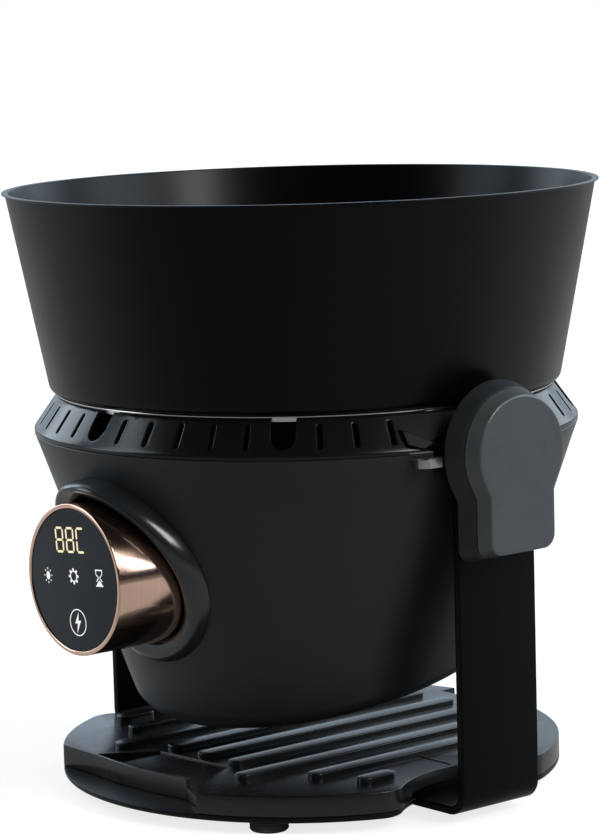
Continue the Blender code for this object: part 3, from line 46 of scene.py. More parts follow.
# joins neighbours (i, j) (i, j+1) (i+1, j+1) (i+1, j) of a grid into quads; wrapping joins last to first
def gridQuads(rows, cols, wrapRows=False, wrapCols=False):
    i = np.arange(rows if wrapRows else rows - 1)[:, None]
    j = np.arange(cols if wrapCols else cols - 1)[None, :]
    down, right = (i + 1) % rows, (j + 1) % cols
    corners = [i * cols + j, i * cols + right, down * cols + right, down * cols + j]
    return np.stack(corners, axis=-1).reshape(-1, 4).tolist()


# a grid of points in mm becomes one part: points in a list, quads, and a flat cap on either end row
def gridPart(points, wrapRows=False, wrapCols=False, caps=()):
    rows, cols = points.shape[:2]
    faces = gridQuads(rows, cols, wrapRows, wrapCols)
    for row in caps:
        start = (row % rows) * cols
        faces.append(list(range(start, start + cols)))
    return points.reshape(-1, 3), faces


# every corner gives way to the curve (1-t)^2 a + 2t(1-t) corner + t^2 b,
# where a and b lie radius * tan(turn / 2) from the corner
def rounded(corners, radii, closed=False, steps=5):
    corners = np.array(corners, float)
    radii = np.broadcast_to(np.array(radii, float), len(corners)).copy()
    if not closed:
        radii[[0, -1]] = 0
    toPrev = np.roll(corners, 1, axis=0) - corners
    toNext = np.roll(corners, -1, axis=0) - corners
    prevLength = np.linalg.norm(toPrev, axis=1, keepdims=True)
    nextLength = np.linalg.norm(toNext, axis=1, keepdims=True)
    toPrev, toNext = toPrev / prevLength, toNext / nextLength
    opening = np.arccos(np.clip((toPrev * toNext).sum(axis=1), -1, 1))
    reach = radii / np.maximum(np.tan(opening / 2), 1e-3)
    reach = np.minimum(reach, 0.48 * np.minimum(prevLength, nextLength)[:, 0])[:, None]
    t = np.linspace(0, 1, steps + 1)[None, :, None]
    first, last = (corners + toPrev * reach)[:, None], (corners + toNext * reach)[:, None]
    curve = (1 - t) ** 2 * first + 2 * t * (1 - t) * corners[:, None] + t ** 2 * last
    curve = curve.reshape(-1, 2)
    step = np.linalg.norm(curve - np.roll(curve, 1, axis=0), axis=1)
    keep = step > 1e-6
    keep[0] = True
    return curve[keep]


# the profile (r, h) turns about Z: point = (r cos a, r sin a, h)
def revolve(profile, steps, closed=False):
    a = np.linspace(0, 2 * np.pi, steps, endpoint=False)[None, :]
    r, h = profile[:, 0][:, None], profile[:, 1][:, None]
    points = np.stack([r * np.cos(a), r * np.sin(a), h + 0 * a], axis=-1)
    return gridPart(points, closed, True)


# the same turned about the knob's axis: h is the place along Y
def revolveY(profile, steps, height, closed=False):
    points, faces = revolve(profile, steps, closed)
    return np.stack([points[:, 0], points[:, 2], height + points[:, 1]], axis=1), faces


# arc = centre + r (cos a, sin a) for a from start to end
def arcPoints(centre, r, start, end, count):
    a = np.radians(np.linspace(start, end, count))
    return np.stack([centre[0] + r * np.cos(a), centre[1] + r * np.sin(a)], axis=1)


# each point steps inward by distance along the mean of its two edge normals,
# lengthened so that the edges keep parallel
def insetLoop(loop, distance):
    edge = np.roll(loop, -1, axis=0) - loop
    edge = edge / np.linalg.norm(edge, axis=1, keepdims=True)
    normal = np.stack([-edge[:, 1], edge[:, 0]], axis=1)
    before = np.roll(normal, 1, axis=0)
    share = 1 + (normal * before).sum(axis=1, keepdims=True)
    return loop + distance * (normal + before) / np.maximum(share, 0.4)


# an outline drawn counterclockwise rises through levels of (height, inset)
def slabPart(outline, levels):
    rows = [np.column_stack([insetLoop(outline, inset), np.full(len(outline), float(z))])
            for z, inset in levels]
    return gridPart(np.stack(rows), False, True, (0, -1))


# levels of a slab whose lower and upper edges are quarter circles:
# z = top - r (1 - sin a), inset = r (1 - cos a)
def softLevels(low, high, lowRadius, highRadius, steps=4):
    a = np.linspace(0, np.pi / 2, steps + 1)
    under = [(low + lowRadius * (1 - math.sin(t)), lowRadius * (1 - math.cos(t))) for t in a[::-1]]
    over = [(high - highRadius * (1 - math.sin(t)), highRadius * (1 - math.cos(t))) for t in a]
    return under + over


# a rod from one point to another, used for cutting
def rodPart(start, end, radius, steps=64):
    start, end = np.array(start, float), np.array(end, float)
    along = (end - start) / np.linalg.norm(end - start)
    side = np.cross(along, (0.3, 0.5, 0.8))
    side /= np.linalg.norm(side)
    other = np.cross(along, side)
    a = np.linspace(0, 2 * np.pi, steps, endpoint=False)[:, None]
    ring = radius * (np.cos(a) * side + np.sin(a) * other)
    return gridPart(np.stack([start + ring, end + ring]), False, True, (0, -1))


# eight corners between a low and a high one
def boxPart(low, high):
    (x0, y0, z0), (x1, y1, z1) = low, high
    return slabPart(np.array([(x0, y0), (x1, y0), (x1, y1), (x0, y1)], float), [(z0, 0), (z1, 0)])


# points at a distance round a path: the ring at each point stands square to the path's direction there
def tubePart(path, radius, sides=20):
    path = np.array(path, float)
    along = np.gradient(path, axis=0)
    along /= np.linalg.norm(along, axis=1, keepdims=True)
    side = np.cross(along, np.array((0.13, 0.21, 1.0)))
    weak = np.linalg.norm(side, axis=1) < 0.2
    side[weak] = np.cross(along[weak], np.array((1.0, 0.2, 0.0)))
    for k in range(1, len(side)):  # carries the first side along, so the tube never twists
        side[k] = side[k - 1] - along[k] * (side[k - 1] @ along[k])
    side /= np.linalg.norm(side, axis=1, keepdims=True)
    other = np.cross(along, side)
    a = np.linspace(0, 2 * np.pi, sides, endpoint=False)[None, :, None]
    points = path[:, None] + radius * (np.cos(a) * side[:, None] + np.sin(a) * other[:, None])
    return gridPart(points, False, True, (0, -1))


# puts parts given in mm into one mesh in metres, merges doubles and turns every face outward
def meshOf(name, parts):
    points, faces, start = [], [], 0
    for place, quads in parts:
        points.append(place)
        faces += [[index + start for index in quad] for quad in quads]
        start += len(place)
    mesh = bpy.data.meshes.new(name)
    mesh.from_pydata((np.concatenate(points) * mm).tolist(), [], faces)
    shape = bmesh.new()
    shape.from_mesh(mesh)
    bmesh.ops.remove_doubles(shape, verts=shape.verts, dist=2e-6)
    bmesh.ops.dissolve_degenerate(shape, edges=shape.edges, dist=1e-6)
    bmesh.ops.recalc_face_normals(shape, faces=shape.faces)
    shape.to_mesh(mesh)
    shape.free()
    return mesh


def addObject(name, mesh):
    made = bpy.data.objects.new(name, mesh)
    bpy.context.scene.collection.objects.link(made)
    return made


def smoothFaces(mesh, sharp=32.0):
    mesh.polygons.foreach_set("use_smooth", np.ones(len(mesh.polygons), bool))
    mesh.set_sharp_from_angle(angle=math.radians(sharp))


# takes the shape of parts away from an object for good, or adds it
def carve(made, parts, operation="DIFFERENCE"):
    tool = addObject("carver", meshOf("carver", parts))
    step = made.modifiers.new("carve", "BOOLEAN")
    step.operation, step.solver, step.object = operation, "EXACT", tool
    bakeShape(made)
    bpy.data.objects.remove(tool, do_unlink=True)


def bakeShape(made):
    graph = bpy.context.evaluated_depsgraph_get()
    made.data = bpy.data.meshes.new_from_object(made.evaluated_get(graph))
    made.modifiers.clear()
    made.data.name = made.name


def softenEdges(made, width, angle=30.0, segments=2):
    step = made.modifiers.new("softEdges", "BEVEL")
    step.width, step.segments, step.angle_limit = width * mm, segments, math.radians(angle)
    step.limit_method, step.harden_normals, step.use_clamp_overlap = "ANGLE", False, True


# one finished piece: mesh, look, the body that carries it and the nodes that it stands for
def finishPiece(made, look, body, nodes=(), sharp=32.0):
    smoothFaces(made.data, sharp)
    made.data.materials.clear()
    made.data.materials.append(look)
    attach(made, body)
    if nodes:
        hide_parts(*nodes)
    return made


def newPiece(name, parts, look, body, nodes=(), sharp=32.0):
    return finishPiece(addObject(name, meshOf(name, parts)), look, body, nodes, sharp)


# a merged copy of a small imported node, its flat triangles joined and its edges softened
def softCopy(name, node, look, body, width, sharp=32.0):
    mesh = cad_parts[node].data.copy()
    shape = bmesh.new()
    shape.from_mesh(mesh)
    bmesh.ops.remove_doubles(shape, verts=shape.verts, dist=2e-6)
    bmesh.ops.dissolve_limit(shape, angle_limit=math.radians(1.0), verts=shape.verts, edges=shape.edges)
    shape.to_mesh(mesh)
    shape.free()
    made = finishPiece(addObject(name, mesh), look, body, (node,), sharp)
    softenEdges(made, width)
    return made


# Looks

class LookMaker:  # one material with its nodes: place is the Object coordinate

    def __init__(self, name, colour, roughness, metallic=0.0, sockets=None):
        self.material = bpy.data.materials.new(name)
        self.material.use_nodes = True
        self.tree = self.material.node_tree
        self.shader = self.tree.nodes["Principled BSDF"]
        self.colour = (*colour, 1.0)
        values = {"Base Color": self.colour, "Roughness": roughness, "Metallic": metallic}
        for key, value in {**values, **(sockets or {})}.items():
            self.shader.inputs[key].default_value = value
        self.place = self.tree.nodes.new("ShaderNodeTexCoord").outputs["Object"]

    def node(self, kind, links=None, values=None, **settings):
        made = self.tree.nodes.new(kind)
        for key, value in settings.items():
            setattr(made, key, value)
        for key, value in (values or {}).items():
            made.inputs[key].default_value = value
        for key, source in (links or {}).items():
            self.tree.links.new(source, made.inputs[key])
        return made

    def stretched(self, scale, turn=(0, 0, 0)):
        return self.node("ShaderNodeMapping", {"Vector": self.place},
                         {"Scale": scale, "Rotation": turn}).outputs["Vector"]

    def noise(self, scale, detail=3.0, place=None, rough=0.55):
        return self.node("ShaderNodeTexNoise", {"Vector": place or self.place},
                         {"Scale": scale, "Detail": detail, "Roughness": rough}).outputs["Fac"]

    def cells(self, scale, place=None, feature="F1"):
        return self.node("ShaderNodeTexVoronoi", {"Vector": place or self.place},
                         {"Scale": scale}, feature=feature).outputs["Distance"]

    def spread(self, source, low, high, fromLow=0.3, fromHigh=0.7):
        limits = {"From Min": fromLow, "From Max": fromHigh, "To Min": low, "To Max": high}
        return self.node("ShaderNodeMapRange", {"Value": source}, limits).outputs["Result"]

    def math(self, operation, first, second):
        made = self.tree.nodes.new("ShaderNodeMath")
        made.operation = operation
        for socket, value in zip(made.inputs, (first, second)):
            if isinstance(value, (int, float)):
                socket.default_value = value
            else:
                self.tree.links.new(value, socket)
        return made.outputs["Value"]

    def blend(self, factor, first, second):
        made = self.node("ShaderNodeMix", data_type="RGBA")
        self.tree.links.new(factor, made.inputs[0])
        for socket, value in zip((made.inputs[6], made.inputs[7]), (first, second)):
            if isinstance(value, tuple):
                socket.default_value = value
            else:
                self.tree.links.new(value, socket)
        return made.outputs[2]

    def feed(self, source, socket):
        self.tree.links.new(source, self.shader.inputs[socket])

    def colours(self, factor, first, second):
        self.feed(self.blend(factor, (*first, 1.0), (*second, 1.0)), "Base Color")

    def roughness(self, source):
        self.feed(source, "Roughness")

    def bump(self, height, strength, distance):
        made = self.node("ShaderNodeBump", {"Height": height},
                         {"Strength": strength, "Distance": distance * mm})
        self.feed(made.outputs["Normal"], "Normal")

    def worn(self, low=0.52, high=0.6):  # 1 on outer edges, 0 on flats
        point = self.node("ShaderNodeNewGeometry").outputs["Pointiness"]
        return self.spread(point, 0.0, 1.0, low, high)


def shade(colour, factor):
    return tuple(min(1.0, part * factor) for part in colour)


# moulded or powder-coated finish: fine grain in the bump, slow drift in colour and gloss, paler worn edges
def grainLook(name, colour, rough, grain=0.45, depth=0.02, drift=0.05, specular=0.5, strength=0.35):
    look = LookMaker(name, colour, rough, 0.0, {"Specular IOR Level": specular})
    slow = look.noise(28.0, 4.0)
    fine = look.noise(1.0 / (grain * mm), 2.0)
    tone = look.blend(look.spread(slow, 0, 1), (*shade(colour, 0.93), 1), (*shade(colour, 1.07), 1))
    toned = look.blend(look.math("MULTIPLY", look.worn(), 0.6), tone, (*shade(colour, 1.35), 1))
    look.feed(toned, "Base Color")
    mottle = look.math("ADD", slow, look.math("MULTIPLY", fine, 0.25))
    look.roughness(look.spread(mottle, rough - drift, rough + drift, 0.4, 0.85))
    look.bump(fine, strength, depth)
    return look.material


# polished or brushed metal: streaks run where the scale is small
def metalLook(name, colour, rough, streak, drift=0.05, depth=0.004, darker=0.86):
    look = LookMaker(name, colour, rough, 1.0)
    fine = look.noise(1.0, 3.0, look.stretched(streak))
    slow = look.noise(35.0, 3.0)
    look.colours(look.spread(fine, 0, 1), shade(colour, darker), colour)
    mottle = look.math("ADD", look.math("MULTIPLY", slow, 0.5), look.math("MULTIPLY", fine, 0.5))
    look.roughness(look.spread(mottle, rough - drift, rough + drift))
    look.bump(fine, 0.25, depth)
    return look.material


def potLook():  # sprayed non-stick coat: faint orange peel with fine darker flecks
    colour = (0.0008, 0.0009, 0.0010)
    look = LookMaker("potCoat", colour, 0.30, 0.0, {"Specular IOR Level": 0.16})
    fleck = look.cells(1500.0)
    peel = look.noise(900.0, 2.0)
    slow = look.noise(22.0, 4.0)
    tone = look.blend(look.spread(slow, 0, 1), (*shade(colour, 0.92), 1), (*shade(colour, 1.1), 1))
    spotted = look.blend(look.spread(fleck, 0.0, 0.5, 0.1, 0.9), tone, (*shade(colour, 1.8), 1))
    look.feed(spotted, "Base Color")
    look.roughness(look.spread(slow, 0.27, 0.33))
    look.bump(peel, 0.3, 0.02)
    return look.material


def rubberLook():
    look = LookMaker("footRubber", (0.018, 0.018, 0.019), 0.8)
    fine = look.noise(1800.0, 2.0)
    dust = look.noise(160.0, 5.0)
    look.colours(look.spread(dust, 0, 1, 0.45, 0.8), (0.016, 0.016, 0.017), (0.045, 0.044, 0.043))
    look.roughness(look.spread(fine, 0.72, 0.9))
    look.bump(fine, 0.4, 0.03)
    return look.material


def boardLook():  # green solder mask with copper tracks under it
    look = LookMaker("controlBoard", (0.01, 0.12, 0.05), 0.3)
    upright = look.stretched((420.0, 420.0, 420.0), (math.pi / 2, 0, 0))
    mask = {"Color1": (0.015, 0.15, 0.06, 1), "Color2": (0.01, 0.10, 0.045, 1),
            "Mortar": (0.05, 0.30, 0.12, 1), "Mortar Size": 0.06, "Scale": 1.0}
    tracks = look.node("ShaderNodeTexBrick", {"Vector": upright}, mask)
    look.feed(tracks.outputs["Color"], "Base Color")
    look.roughness(look.spread(look.noise(300.0), 0.25, 0.4))
    look.bump(tracks.outputs["Fac"], 0.4, 0.03)
    return look.material


def fibreLook():  # pressed ceramic wool
    look = LookMaker("ceramicPad", (0.62, 0.60, 0.55), 0.95)
    fibres = look.noise(1.0, 5.0, look.stretched((700.0, 260.0, 500.0), (0, 0, 0.6)))
    look.colours(look.spread(fibres, 0, 1), (0.50, 0.48, 0.43), (0.74, 0.72, 0.67))
    look.bump(fibres, 0.7, 0.2)
    return look.material


def glassLook():  # smoked glass over a dark mask: even face, faint cloud
    look = LookMaker("displayGlass", (0.020, 0.024, 0.029), 0.16, 0.0, {"Specular IOR Level": 0.2})
    cloud = look.noise(45.0, 3.0)
    look.colours(look.spread(cloud, 0, 1), (0.018, 0.022, 0.027), (0.022, 0.027, 0.032))
    look.roughness(look.spread(look.noise(260.0, 4.0), 0.13, 0.2))
    return look.material


def lampLook(name, colour, power):  # lit print seen through the glass: a little uneven like a real segment
    look = LookMaker(name, colour, 0.5)
    uneven = look.noise(420.0, 2.0)
    lit = look.blend(look.spread(uneven, 0, 1), (*shade(colour, 0.82), 1), (*colour, 1))
    look.feed(lit, "Emission Color")
    look.shader.inputs["Emission Strength"].default_value = power
    look.colours(look.spread(uneven, 0, 1), shade(colour, 0.3), shade(colour, 0.4))
    return look.material


def copperLook():  # satin-polished rose metal, turned marks run round the knob's axis
    look = LookMaker("knobCopper", (0.84, 0.55, 0.42), 0.12, 1.0)
    marks = look.noise(1.0, 4.0, look.stretched((14.0, 2600.0, 14.0)))
    slow = look.noise(40.0, 3.0)
    look.colours(look.spread(marks, 0, 1), (0.78, 0.49, 0.36), (0.90, 0.62, 0.48))
    mottle = look.math("ADD", look.math("MULTIPLY", marks, 0.6), look.math("MULTIPLY", slow, 0.4))
    look.roughness(look.spread(mottle, 0.10, 0.16))
    look.bump(marks, 0.12, 0.0015)
    return look.material


looks = {
    "pot": potLook(),
    "ring": grainLook("ringGloss", (0.0040, 0.0044, 0.0050), 0.20, 0.9, 0.006, 0.04, 0.35, 0.15),
    "shell": grainLook("shellSatin", (0.0145, 0.0172, 0.0192), 0.36, 0.40, 0.012, 0.04, 0.24),
    "collar": grainLook("collarSatin", (0.0145, 0.0172, 0.0192), 0.20, 0.40, 0.008, 0.03, 0.6),
    "base": grainLook("discSatin", (0.0030, 0.0034, 0.0038), 0.34, 0.45, 0.012, specular=0.12),
    "arm": grainLook("armCoat", (0.0010, 0.0011, 0.0013), 0.34, 0.5, 0.018, specular=0.08),
    "grill": grainLook("grillCoat", (0.0030, 0.0034, 0.0040), 0.28, 0.55, 0.03, 0.06, 0.5, 0.4),
    "housing": grainLook("housingSatin", (0.047, 0.054, 0.057), 0.28, 0.4, 0.012, specular=0.5),
    "inner": grainLook("innerPlastic", (0.012, 0.012, 0.013), 0.5, 0.6, 0.02),
    "rubber": rubberLook(),
    "chrome": metalLook("leverChrome", (0.45, 0.45, 0.46), 0.16, (60.0, 60.0, 900.0)),
    "trim": metalLook("trimSteel", (0.70, 0.69, 0.67), 0.22, (900.0, 900.0, 5000.0)),
    "steel": metalLook("platedSteel", (0.58, 0.58, 0.57), 0.28, (500.0, 500.0, 500.0)),
    "brass": metalLook("bushBrass", (0.72, 0.55, 0.27), 0.3, (500.0, 3000.0, 3000.0)),
    "dish": metalLook("dishSteel", (0.16, 0.16, 0.165), 0.34, (1600.0, 1600.0, 300.0)),
    "element": metalLook("elementSheath", (0.20, 0.185, 0.17), 0.42, (300.0, 300.0, 900.0), darker=0.6),
    "motor": metalLook("motorCan", (0.50, 0.50, 0.49), 0.32, (200.0, 200.0, 3200.0)),
    "copper": copperLook(),
    "glass": glassLook(),
    "digits": lampLook("warmSegments", (0.95, 0.80, 0.50), 0.95),
    "icons": lampLook("whitePrint", (0.93, 0.94, 0.95), 0.85),
    "board": boardLook(),
    "pad": fibreLook(),
    "nylon": grainLook("whiteNylon", (0.62, 0.61, 0.58), 0.5, 0.4, 0.02),
}
print("looks made:", len(looks))


# Pot and trim ring

pot = {"steps": 192, "bottom": 202.0, "top": 302.7, "rim": 150.0, "lip": 1.8, "lipThick": 0.9, "slope": 0.203,
       "wall": 1.5, "floor": 1.5, "corner": 5.0, "plug": 117.0, "plugDepth": 4.4}


# profile up the outside, over the rolled lip and down the inside, turned about Z
def potProfile(s):
    neck = s["rim"] - s["lip"]
    high = s["top"] - s["lipThick"]
    foot = neck - s["slope"] * (high - s["bottom"] - s["corner"])
    low = s["bottom"] - s["plugDepth"]
    corners = [(0, low), (s["plug"] - s["plugDepth"], low), (s["plug"], s["bottom"]), (foot, s["bottom"]),
               (neck, high), (s["rim"], high + 0.1), (s["rim"], s["top"]), (neck - s["wall"], s["top"]),
               (foot - s["wall"], s["bottom"] + s["floor"]), (0, s["bottom"] + s["floor"])]
    radii = [0, 0.8, 0.8, s["corner"], 0.7, 0.45, 0.45, 0.8, s["corner"] + 2, 0]
    return rounded(corners, radii, steps=7)


newPiece("potBody", [revolve(potProfile(pot), pot["steps"])], looks["pot"], "pot", ["pot"])

trim = {"steps": 192, "low": 200.9, "high": 201.7, "outer": 126.2, "inner": 118.0, "skirt": 124.0,
        "wall": 0.8, "skirtLow": 198.7}


# closed profile: a flat washer with a skirt hanging from it
def trimProfile(s):
    within = s["skirt"] - s["wall"]
    corners = [(s["outer"], s["high"]), (s["outer"], s["low"]), (s["skirt"], s["low"]),
               (s["skirt"], s["skirtLow"]), (within, s["skirtLow"]), (within, s["low"]),
               (s["inner"], s["low"]), (s["inner"], s["high"])]
    return rounded(corners, [0.3, 0.3, 0.3, 0.25, 0.25, 0.1, 0.25, 0.25], closed=True, steps=3)


newPiece("trimRing", [revolve(trimProfile(trim), trim["steps"], True)], looks["trim"], "head",
         ["trim_ring"])
print("pot and trim made")


# Slotted ring

ring = {"cells": 48, "notchEvery": 6, "rim": 137.7, "topRadius": 126.0, "bottom": 182.3, "bandTop": 184.2,
        "top": 200.6, "wall": 2.2, "slotHalf": 1.3, "slotLow": 187.0, "slotTall": 11.0, "notchHalf": 6.0,
        "side": 10, "across": 8, "pivotHeight": 182.0, "bossRadius": 33.75, "bossFace": 130.8,
        "relief": 0.6, "edge": 0.35, "margin": 4.0, "reach": 8.0}


# radius of the ring's skin: upright band, then a straight cone
def ringRadius(z, s=ring):
    share = np.clip((z - s["bandTop"]) / (s["top"] - s["bandTop"]), 0, 1)
    return s["rim"] + (s["topRadius"] - s["rim"]) * share


# the border of one cell: down its left side, along its foot, up its right side,
# and back along its top if closed
def cellBorder(s, closed):
    side, across = s["side"], s["across"]
    half = math.sin(math.pi / s["cells"])
    falling = np.linspace(s["top"], s["bandTop"], side + 1)
    width = np.linspace(-1, 1, across + 1)
    left = np.column_stack([-half * ringRadius(falling), falling])
    foot = np.column_stack([half * s["rim"] * width, np.full(across + 1, s["bandTop"])])
    right = np.column_stack([half * ringRadius(falling[::-1]), falling[::-1]])
    top = np.column_stack([-half * s["topRadius"] * width, np.full(across + 1, s["top"])])
    return np.vstack([left, foot[1:], right[1:]] + ([top[1:-1]] if closed else []))


# the opening with as many points as the border: a slot is a stadium, a notch is a U open at the top
def cellOpening(s, notch):
    half = s["notchHalf"] if notch else s["slotHalf"]
    low = s["slotLow"] + half
    high = s["top"] if notch else s["slotLow"] + s["slotTall"] - half
    falling = np.linspace(high, low, s["side"] + 1)
    left = np.column_stack([np.full(s["side"] + 1, -half), falling])
    foot = arcPoints((0, low), half, 180, 360, s["across"] + 1)
    right = np.column_stack([np.full(s["side"] + 1, half), falling[::-1]])
    top = arcPoints((0, high), half, 0, 180, s["across"] + 1)
    return np.vstack([left, foot[1:], right[1:]] + ([] if notch else [top[1:-1]]))


# (across, height) on the skin goes to (sqrt(R(z)^2 - y^2), y, z) turned to the cell's place
def ontoSkin(flat, turn):
    y, z = flat[..., 0], flat[..., 1]
    x = np.sqrt(ringRadius(z) ** 2 - y ** 2)
    c, n = math.cos(turn), math.sin(turn)
    return np.stack([x * c - y * n, x * n + y * c, z], axis=-1)


def ringParts(s):
    parts = []
    shares = np.array([0.0, 0.15, 0.5, 1.0])[:, None, None]
    half = math.sin(math.pi / s["cells"])
    width = np.linspace(-1, 1, s["across"] + 1)[None, :]
    for k in range(s["cells"]):
        turn = 2 * math.pi * k / s["cells"]
        notch = k % s["notchEvery"] == 0
        if abs(math.sin(turn)) < (s["bossRadius"] + s["margin"]) / s["rim"]:
            z = np.linspace(s["top"], s["bandTop"], s["side"] + 1)[:, None]
            plain = np.stack([half * ringRadius(z) * width, z + 0 * width], axis=-1)
            parts.append(gridPart(ontoSkin(plain, turn)))
        else:
            inside, outside = cellOpening(s, notch), cellBorder(s, not notch)
            flat = inside[None] * (1 - shares) + outside[None] * shares
            parts.append(gridPart(ontoSkin(flat, turn), False, not notch))
        z = np.array([s["bandTop"], s["bottom"]])[:, None]
        band = np.stack([half * s["rim"] * width + 0 * z, z + 0 * width], axis=-1)
        parts.append(gridPart(ontoSkin(band, turn)))
    return parts


# turns an open skin so that its faces look away from the Z axis
def faceOutward(mesh):
    shape = bmesh.new()
    shape.from_mesh(mesh)
    lean = sum(face.normal.xy.dot(face.calc_center_median().xy) for face in shape.faces)
    if lean < 0:
        bmesh.ops.reverse_faces(shape, faces=shape.faces)
    shape.to_mesh(mesh)
    shape.free()


def makeRing(s):
    made = addObject("slottedRing", meshOf("slottedRing", ringParts(s)))
    faceOutward(made.data)
    wall = made.modifiers.new("wall", "SOLIDIFY")
    wall.thickness, wall.offset, wall.use_even_offset = s["wall"] * mm, -1.0, True
    softenEdges(made, s["edge"], 28.0)
    bakeShape(made)
    height, far, radius = s["pivotHeight"], s["rim"] + s["reach"], s["bossRadius"] + s["relief"]
    carve(made, [rodPart((side * s["bossFace"], 0, height), (side * far, 0, height), radius, 96)
                 for side in (-1, 1)])
    return finishPiece(made, looks["ring"], "head", ["vent_ring"])


makeRing(ring)
print("slotted ring made")


# Lower shell with its tilted bottom

shell = {"steps": 240, "rim": 137.7, "height": 182.0, "slope": 0.348, "wall": 3.0, "drop": 124.6,
         "tilt": math.radians(13.77), "fillet": 13.0, "wallDeep": 70.0, "coverY": 8.1, "cover": 70.3,
         "seat": 1.6, "ledge": 6.0, "soft": 0.4, "rimEdge": 0.5, "groove": 38.2, "knobDrop": 61.1,
         "near": 70.0, "far": 150.0, "inletHeight": 128.0, "inletWide": 17.3, "inletTall": 13.3,
         "bossFace": 130.8, "bossRadius": 34.35}


# in each upright half-plane the wall line and the bottom line meet at a corner,
# which a circle of the fillet's radius rounds: arc point = centre + (sin((1-s)w) v1 + sin(s w) v2) / sin w
def shellSkin(s, inset, filletSteps=12):
    a = np.linspace(0, 2 * np.pi, s["steps"], endpoint=False)
    lean = math.tan(s["tilt"])
    level = inset / math.cos(math.atan(s["slope"]))
    rim = s["rim"] - level
    bottom = s["height"] - s["drop"] + inset / math.cos(s["tilt"])
    radius = (rim - s["slope"] * (s["height"] - bottom)) / (1 - s["slope"] * lean * np.sin(a))
    corner = np.stack([radius, bottom + lean * radius * np.sin(a)], axis=-1)
    up = np.array([s["slope"], 1.0]) / math.hypot(s["slope"], 1.0)
    inward = np.stack([-np.ones_like(a), -lean * np.sin(a)], axis=-1)
    inward /= np.linalg.norm(inward, axis=1, keepdims=True)
    opening = np.arccos((inward * up).sum(axis=1))[:, None]
    fillet = s["fillet"] - inset
    reach = fillet / np.tan(opening / 2)
    middle = up + inward
    middle /= np.linalg.norm(middle, axis=1, keepdims=True)
    centre = corner + middle * fillet / np.sin(opening / 2)
    first, last = corner + up * reach - centre, corner + inward * reach - centre
    sweep = np.pi - opening
    t = np.linspace(0, 1, filletSteps + 1)[:, None, None]
    arc = centre + (np.sin((1 - t) * sweep) * first + np.sin(t * sweep) * last) / np.sin(sweep)
    z = np.linspace(s["height"], s["height"] - s["wallDeep"], 12)[:, None] + 0 * a
    wall = np.stack([rim - s["slope"] * (s["height"] - z), z], axis=-1)
    flat = np.concatenate([wall, arc])
    return np.stack([flat[..., 0] * np.cos(a), flat[..., 0] * np.sin(a), flat[..., 1]], axis=-1)


# circles in the tilted bottom's own frame, lift along its upward normal
def bottomRing(s, radius, lift):
    a = np.linspace(0, 2 * np.pi, s["steps"], endpoint=False)
    x, y = radius * np.cos(a), radius * np.sin(a)
    c, n = math.cos(s["tilt"]), math.sin(s["tilt"])
    middle = s["height"] - s["drop"] + s["coverY"] * math.tan(s["tilt"])
    return np.stack([x, s["coverY"] + y * c - lift * n, middle + y * n + lift * c], axis=-1)


boss = {"radii": (4.3, 27.9, 28.5, 28.5, 28.9, 33.6, 34.2, 34.3),
        "depths": (127.8, 127.8, 128.0, 130.5, 130.8, 130.8, 130.8, 126.0),
        "seam": 0.3, "under": 0.5, "thick": 3.2}


# the pad round the pivot: x = the face's depth, or a little under the skin where the skin is nearer
def bossPart(s, side, above):
    r, depth = (np.array(boss[key])[:, None] for key in ("radii", "depths"))
    a = np.linspace(0, np.pi, 97)[None, :] + (0 if above else np.pi)
    y, z = r * np.cos(a), s["height"] + r * np.sin(a) + (boss["seam"] if above else 0)
    skin = ringRadius(z) if above else s["rim"] - s["slope"] * (s["height"] - z)
    x = np.minimum(depth, np.sqrt(skin ** 2 - y ** 2) - boss["under"])
    outer = np.stack([side * x, y, z], axis=-1)
    inner = np.stack([side * (x - boss["thick"]), y, z], axis=-1)
    return gridPart(np.concatenate([outer, inner[::-1]]), True, False, ())


def makeShell(s):
    outer, inner = shellSkin(s, 0), shellSkin(s, s["wall"])
    rimEdge = outer[:1] * np.array([(s["rim"] - s["rimEdge"]) / s["rim"]] * 2 + [1.0])
    outer[0, :, 2] -= s["rimEdge"]
    cover, ledge, soft = s["cover"], s["cover"] - s["ledge"], s["soft"]
    steps = [(cover + soft, 0), (cover, soft), (cover, s["seat"]), (ledge, s["seat"]), (ledge, s["wall"])]
    rows = [rimEdge, outer, *(bottomRing(s, radius, lift)[None] for radius, lift in steps), inner[::-1]]
    made = addObject("shellBody", meshOf("shellBody", [gridPart(np.concatenate(rows), True, True)]))
    knobZ = s["height"] - s["knobDrop"]
    near, far, height = s["near"], s["far"], s["height"]
    cutters = [rodPart((0, -far, knobZ), (0, -near, knobZ), s["groove"], 128)]
    cutters.append(boxPart((-s["inletWide"], near, s["inletHeight"] - s["inletTall"]),
                           (s["inletWide"], far, s["inletHeight"] + s["inletTall"])))
    for side in (-1, 1):
        start, end = (side * s["bossFace"], 0, height), (side * far, 0, height)
        cutters.append(rodPart(start, end, s["bossRadius"], 96))
    carve(made, cutters)
    return finishPiece(made, looks["shell"], "head", ["lower_shell"])


makeShell(shell)
for side, tag in ((1, "Right"), (-1, "Left")):
    newPiece("shellBoss" + tag, [bossPart(shell, side, False)], looks["shell"], "head")
    newPiece("ringBoss" + tag, [bossPart(shell, side, True)], looks["ring"], "head")
print("lower shell made")


# Collar, knob and display

knob = {"height": 120.9, "radius": 37.0, "wall": 2.2, "face": -149.6, "rear": -103.0, "edge": 0.8,
        "groove": 38.2, "collar": 47.7, "rise": 9.0, "swing": 5.2, "gap": 0.3, "crest": 0.55, "shoulder": 0.6,
        "glassFront": -149.1, "glassRear": -147.1, "glass": 34.5, "displayTurn": 5.0}


